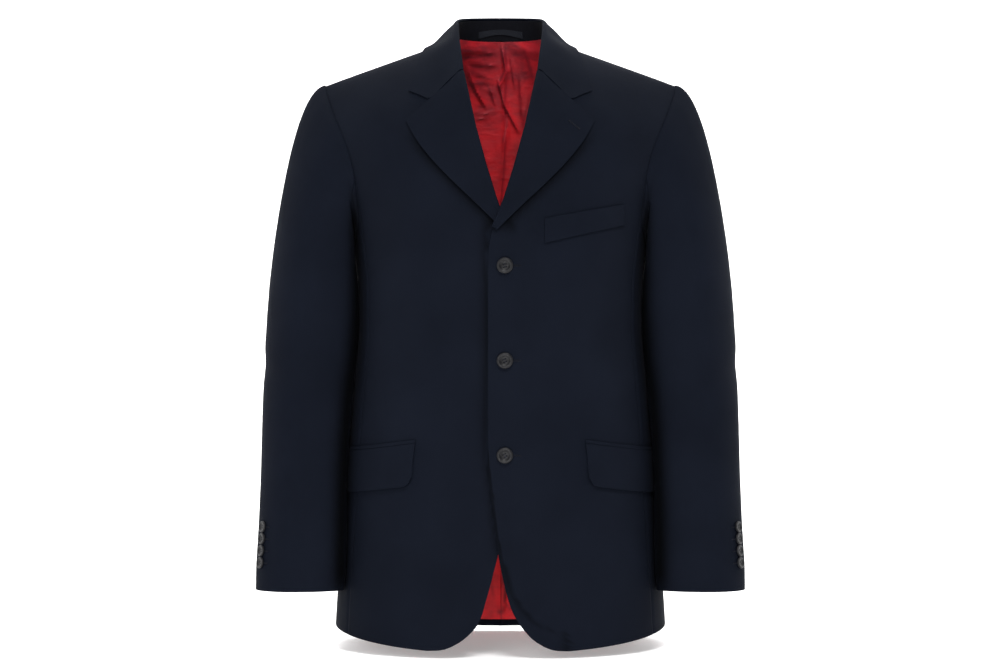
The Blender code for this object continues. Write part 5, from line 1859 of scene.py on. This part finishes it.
class BLAZER_OT_sleeves(bpy.types.Operator):
    """Dress both sleeves, each cut in a top and an under piece"""

    bl_idname = "blazer.sleeves"
    bl_label = "Sleeves"

    def execute(self, context):
        wall = context.scene.blazer_cloth.wall / MM
        finish = body_finish(context)
        ring, fore, hind = sleeve_grid()
        inward = ring_inward(ring)
        count = len(ring[0])
        cuts = {"top_sleeve": [(hind + i) % count for i in range(count - hind + fore + 1)],
                "under_sleeve": range(fore, hind + 1)}
        for side, word in WORDS.items():
            for kind, nodes in cuts.items():
                rows = near_edges([[mirrored(row[n], side) for n in nodes] for row in ring])
                ways = near_edges([[mirrored(line[n], side) for n in nodes] for line in inward])
                dress(f"{kind}_{word}", sunk_edges(rows, ("first", "last"), ways), ways, wall, finish,
                      [f"front_{word}", f"back_{word}"], painted_shade_at=hollow_shade)
        return {"FINISHED"}


class BLAZER_OT_lapels(bpy.types.Operator):
    """Dress the lapels"""

    bl_idname = "blazer.lapels"
    bl_label = "Lapels"

    def execute(self, context):
        wall = context.scene.blazer_cloth.lapel_wall / MM
        finish = body_finish(context)
        for side, word in WORDS.items():
            rows = refined(lapel_grid(side), *LAPEL_REFINE)
            inward = grid_inward(rows, FORWARD)
            dress(f"lapel_{word}", sunk_edges(rows, ("top",), scaled(inward, GORGE_SINK_SHARE)), inward, wall,
                  finish, [f"front_{word}"], round_edge=ROLLED_EDGE)
        return {"FINISHED"}


class BLAZER_OT_collar(bpy.types.Operator):
    """Dress the collar's fall and stand, and the loop inside it"""

    bl_idname = "blazer.collar"
    bl_label = "Collar"

    def execute(self, context):
        cloth = context.scene.blazer_cloth
        found = collar_stations()
        self.fall(found, body_finish(context))
        half = both_halves([stand_row(station) for station in found[:STAND_LAST + 1]])
        self.stand(half, finish_named("collar_band", felt_finish, cloth.trim_colour))
        self.loop(half, finish_named("loop_tape", felt_finish, cloth.loop_colour))
        return {"FINISHED"}

    def fall(self, found, finish):
        half = [fall_row(station, i) for i, station in enumerate(found[:-1])]
        rows = refined(both_halves(half + [gorge_row()]), *FALL_REFINE)
        inward = grid_inward(rows, BEHIND_ABOVE)
        dress("collar_fall", sunk_edges(rows, ("top", "bottom"), scaled(inward, GORGE_SINK_SHARE)), inward,
              COLLAR_WALL, finish, ["collar_stand"], round_edge=ROLLED_EDGE, cut_rows=rows)

    def stand(self, coarse, finish):
        rows = refined(coarse, *STAND_REFINE)
        dress("collar_stand", rows, grid_inward(rows, BEHIND_ABOVE), WALL, finish,
              ["back_left", "back_right"])

    def loop(self, stand, finish):
        inner = pushed(stand, grid_inward(stand, BEHIND_ABOVE), WALL)
        middle = len(inner) // 2
        strip = []
        for place in LOOP_STATIONS:
            low = min(math.floor(place), len(inner) - 2 - middle)
            first, second = inner[middle + low], inner[middle + low + 1]
            bottom, top = (first[end].lerp(second[end], place - low) for end in (0, -1))
            strip.append([bottom.lerp(top, share) for share in LOOP_SHARES])
        rows = refined(pushed(strip, grid_inward(strip, BEHIND), LOOP_GAP + LOOP_WALL), *STAND_REFINE)
        dress("hanger_loop", rows, grid_inward(rows, FORWARD), LOOP_WALL, finish, ["collar_stand"],
              TAPE_EDGE)


class BLAZER_OT_lining(bpy.types.Operator):
    """Dress the back's satin lining with its folds and centre pleat"""

    bl_idname = "blazer.lining"
    bl_label = "Lining"

    def execute(self, context):
        cloth = context.scene.blazer_cloth
        finish = finish_named("shot_satin", satin_finish, cloth.lining_colour)
        rows = lining_grid()
        wall = cloth.lining_wall / MM * LINING_WALL_SHARE
        # The last argument gives the lining painted shade in its creases.
        dress("back_lining", rows, grid_inward(rows, FORWARD_BELOW), wall, finish, ["collar_stand"],
              SATIN_EDGE, lambda point: fold_shape(point.x, point.z)[1])
        return {"FINISHED"}


class BLAZER_OT_pockets(bpy.types.Operator):
    """Dress the breast welt, and the hip pockets' flaps and jets"""

    bl_idname = "blazer.pockets"
    bl_label = "Pockets"

    def execute(self, context):
        finish = body_finish(context)
        for side, word in WORDS.items():
            front = f"front_{word}"
            self.lay(f"pocket_flap_{word}", flap_grid, side, FLAP_WALL, finish, front)
            self.lay(f"pocket_jet_{word}", jet_grid, side, JET_WALL, finish, front)
        self.lay("breast_welt", welt_grid, LEFT, WELT_WALL, finish, "front_left")
        return {"FINISHED"}

    def lay(self, node, grid, side, wall, finish, rests_on):
        rows = grid(side, POCKET_GAP + wall)
        dress(node, rows, grid_inward(rows, FORWARD), wall, finish, [rests_on],
              round_edge=POCKET_EDGE, painted_shade_at=hollow_shade)


class BLAZER_OT_buttons(bpy.types.Operator):
    """Dress the front and cuff buttons, with their holes and thread"""

    bl_idname = "blazer.buttons"
    bl_label = "Buttons"

    def execute(self, context):
        sizes = context.scene.blazer_buttons
        finish = finish_named("dark_horn", horn_finish, sizes.colour)
        thread = finish_named("dark_thread", thread_finish, sizes.thread_colour)
        for i, drop in enumerate(FRONT_BUTTON_DROPS, 1):
            place, *around = front_cross(FRONT_BUTTON_X, drop, LAY_GAP)
            self.sew(f"front_button_{i}", place, facing(*around), sizes.front_radius / MM, FRONT_BUTTON_WALL,
                     finish, thread, FRONT_BUTTON_TURN * i)
        for side, word in WORDS.items():
            for i, level in enumerate(CUFF_BUTTON_LEVELS, 1):
                place, *around = cuff_cross(level)
                normal = facing(*around)
                self.sew(f"cuff_button_{word}_{i}", mirrored(place + normal * LAY_GAP, side),
                         mirrored(normal, side), sizes.cuff_radius / MM, CUFF_BUTTON_WALL,
                         finish, thread, CUFF_BUTTON_TURN * i)
        return {"FINISHED"}

    def sew(self, node, place, normal, radius, wall, finish, thread, turn):
        matrix = placed(place, normal, Vector((0.0, 0.0, 1.0))) @ Matrix.Rotation(math.radians(turn), 4, "Z")
        mesh = drilled(node + "_turned", radius, wall, finish)
        mesh.transform(matrix)
        mesh.shade_smooth()
        mesh.set_sharp_from_angle(angle=math.radians(BUTTON_SHARP_ANGLE))
        piece = linked(node + "_turned", mesh)
        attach(piece, BODY)
        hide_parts(node)
        bm = bmesh.new()
        thread_bars(bm, radius, wall, matrix)
        sewn = collect(node + "_thread", bm, thread)
        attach(sewn, BODY)


class BLAZER_OT_buttonholes(bpy.types.Operator):
    """Work the lapel, front and cuff buttonholes"""

    bl_idname = "blazer.buttonholes"
    bl_label = "Buttonholes"

    def execute(self, context):
        thread = finish_named("dark_thread", thread_finish, context.scene.blazer_buttons.thread_colour)
        bm = bmesh.new()
        for drop in FRONT_BUTTON_DROPS:
            place, *around = front_cross(FRONT_BUTTON_X + FRONT_HOLE_SHIFT, drop, FRONT_HOLE_LIFT)
            thread_ring(bm, placed(place, facing(*around), around[2] - around[3]), *FRONT_HOLE)
        self.finish(bm, "front_buttonholes", thread)
        bm = bmesh.new()
        thread_ring(bm, self.lapel_place(), *LAPEL_HOLE)
        self.finish(bm, "lapel_buttonhole", thread)
        for side, word in WORDS.items():
            bm = bmesh.new()
            for level in CUFF_BUTTON_LEVELS:
                place, *around = cuff_cross(level, CUFF_HOLE_SWING)
                normal = facing(*around)
                over = (around[1] - around[0]).normalized()
                matrix = placed(mirrored(place + normal * HOLE_LIFT, side), mirrored(normal, side),
                                mirrored(normal.cross(over), side))
                thread_ring(bm, matrix, *CUFF_HOLE)
            self.finish(bm, f"cuff_buttonholes_{word}", thread)
        return {"FINISHED"}

    def lapel_place(self):
        """The matrix of the left lapel's buttonhole, which lies across the lapel."""
        roll_x, roll_z = roll_place(LEFT, LAPEL_HOLE_ALONG)
        edge_x, edge_z = LAPEL["x"](LAPEL_HOLE_ALONG), LAPEL["z"](LAPEL_HOLE_ALONG)
        lift = LAPEL_GAP + LAPEL_WALL + HOLE_LIFT
        places = [(blend(roll_x, edge_x, share), blend(roll_z, edge_z, share)) for share in LAPEL_HOLE_ACROSS]
        start, middle, end = (on_panel(LEFT, x, z, lift) for x, z in places)
        above = on_panel(LEFT, *(value + LAPEL_HOLE_ABOVE for value in places[1]), lift)
        over = (end - start).normalized()
        normal = over.cross(above - middle).normalized()
        if normal.y > 0.0:
            normal = -normal
        return placed(middle, normal, normal.cross(over))

    def finish(self, bm, name, thread):
        bmesh.ops.recalc_face_normals(bm, faces=bm.faces[:])
        piece = collect(name, bm, thread)
        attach(piece, BODY)


class BLAZER_OT_studio(bpy.types.Operator):
    """Set the floor, backdrop, lights and camera"""

    bl_idname = "blazer.studio"
    bl_label = "Studio"

    def execute(self, context):
        studio = context.scene.blazer_studio
        self.sweep(studio)
        for row in bands(LIGHT_COLUMNS, LIGHTS):
            self.light(row["name"], row["place"], row["target"], row["size"], getattr(studio, row["power"]))
        context.scene.view_settings.view_transform = "Standard"
        world = bpy.data.worlds.new("studio_air")
        world.use_nodes = True
        air = world.node_tree.nodes["Background"]
        air.inputs["Color"].default_value = (1.0, 1.0, 1.0, 1.0)
        air.inputs["Strength"].default_value = studio.ambient
        context.scene.world = world
        camera = bpy.data.cameras.new("camera")
        camera.lens = SENSOR * CAMERA_AWAY / (PHOTO_WIDTH * PHOTO_PITCH)
        camera.sensor_width = SENSOR
        camera.clip_end = CAMERA_END
        eye = linked("camera", camera)
        eye.location = (CAMERA_X * MM, -CAMERA_AWAY * MM, CAMERA_Z * MM)
        eye.rotation_euler = (math.radians(90.0), 0.0, 0.0)
        context.scene.camera = eye
        return {"FINISHED"}

    def sweep(self, studio):
        """One pale sheet: the floor, a soft bend and the wall behind it."""
        floor_z = -HEM_DROP * MM - studio.floor_gap
        profile = [(FLOOR_FRONT, 0.0), (FLOOR_BACK, 0.0)]
        for degrees in range(10, 91, 10):
            turn = math.radians(degrees)
            profile.append((FLOOR_BACK + FLOOR_BEND * math.sin(turn), FLOOR_BEND * (1.0 - math.cos(turn))))
        profile.append((FLOOR_BACK + FLOOR_BEND, BACKDROP_TOP))
        bm = bmesh.new()
        verts = [bm.verts.new((-FLOOR_HALF_WIDTH, y, floor_z + z)) for y, z in profile]
        edges = [bm.edges.new(pair) for pair in zip(verts, verts[1:])]
        made = bmesh.ops.extrude_edge_only(bm, edges=edges)
        new = [item for item in made["geom"] if isinstance(item, bmesh.types.BMVert)]
        bmesh.ops.translate(bm, verts=new, vec=(2.0 * FLOOR_HALF_WIDTH, 0.0, 0.0))
        bm.normal_update()
        if sum(face.normal.z for face in bm.faces) < 0.0:
            bmesh.ops.reverse_faces(bm, faces=bm.faces[:])
        paper = finish_named("studio_paper", studio_finish, studio.floor_colour, studio.floor_glow)
        collect("studio_floor", bm, paper)

    def light(self, name, place, target, size, power):
        lamp = bpy.data.lights.new(name, "AREA")
        lamp.shape = "RECTANGLE"
        lamp.size, lamp.size_y = size
        lamp.energy = power
        item = linked(name, lamp)
        item.location = place
        item.visible_camera = False
        item.rotation_euler = (Vector(target) - Vector(place)).to_track_quat("-Z", "Y").to_euler()


PIECES = (BLAZER_OT_trunk, BLAZER_OT_sleeves, BLAZER_OT_lapels, BLAZER_OT_collar, BLAZER_OT_lining,
          BLAZER_OT_pockets, BLAZER_OT_buttons, BLAZER_OT_buttonholes, BLAZER_OT_studio)
SETTINGS = {"blazer_cloth": BlazerCloth, "blazer_buttons": BlazerButtons, "blazer_studio": BlazerStudio}


class BLAZER_PT_panel(bpy.types.Panel):
    """Lists the blazer's settings and steps"""

    bl_idname = "BLAZER_PT_panel"
    bl_label = "Blazer"
    bl_space_type = "VIEW_3D"
    bl_region_type = "UI"
    bl_category = "Blazer"

    def draw(self, context):
        for key, kind in SETTINGS.items():
            box = self.layout.box()
            for name in kind.__annotations__:
                box.prop(getattr(context.scene, key), name)
        for piece in PIECES:
            self.layout.operator(piece.bl_idname)


def register():
    for kind in (*SETTINGS.values(), *PIECES, BLAZER_PT_panel):
        bpy.utils.register_class(kind)
    for key, kind in SETTINGS.items():
        setattr(bpy.types.Scene, key, bpy.props.PointerProperty(type=kind))


def unregister():
    for key in SETTINGS:
        delattr(bpy.types.Scene, key)
    for kind in (BLAZER_PT_panel, *reversed(PIECES), *reversed(tuple(SETTINGS.values()))):
        bpy.utils.unregister_class(kind)


def main():
    register()
    for piece in PIECES:
        group, name = piece.bl_idname.split(".")
        getattr(getattr(bpy.ops, group), name)()


if __name__ == "__main__":
    main()
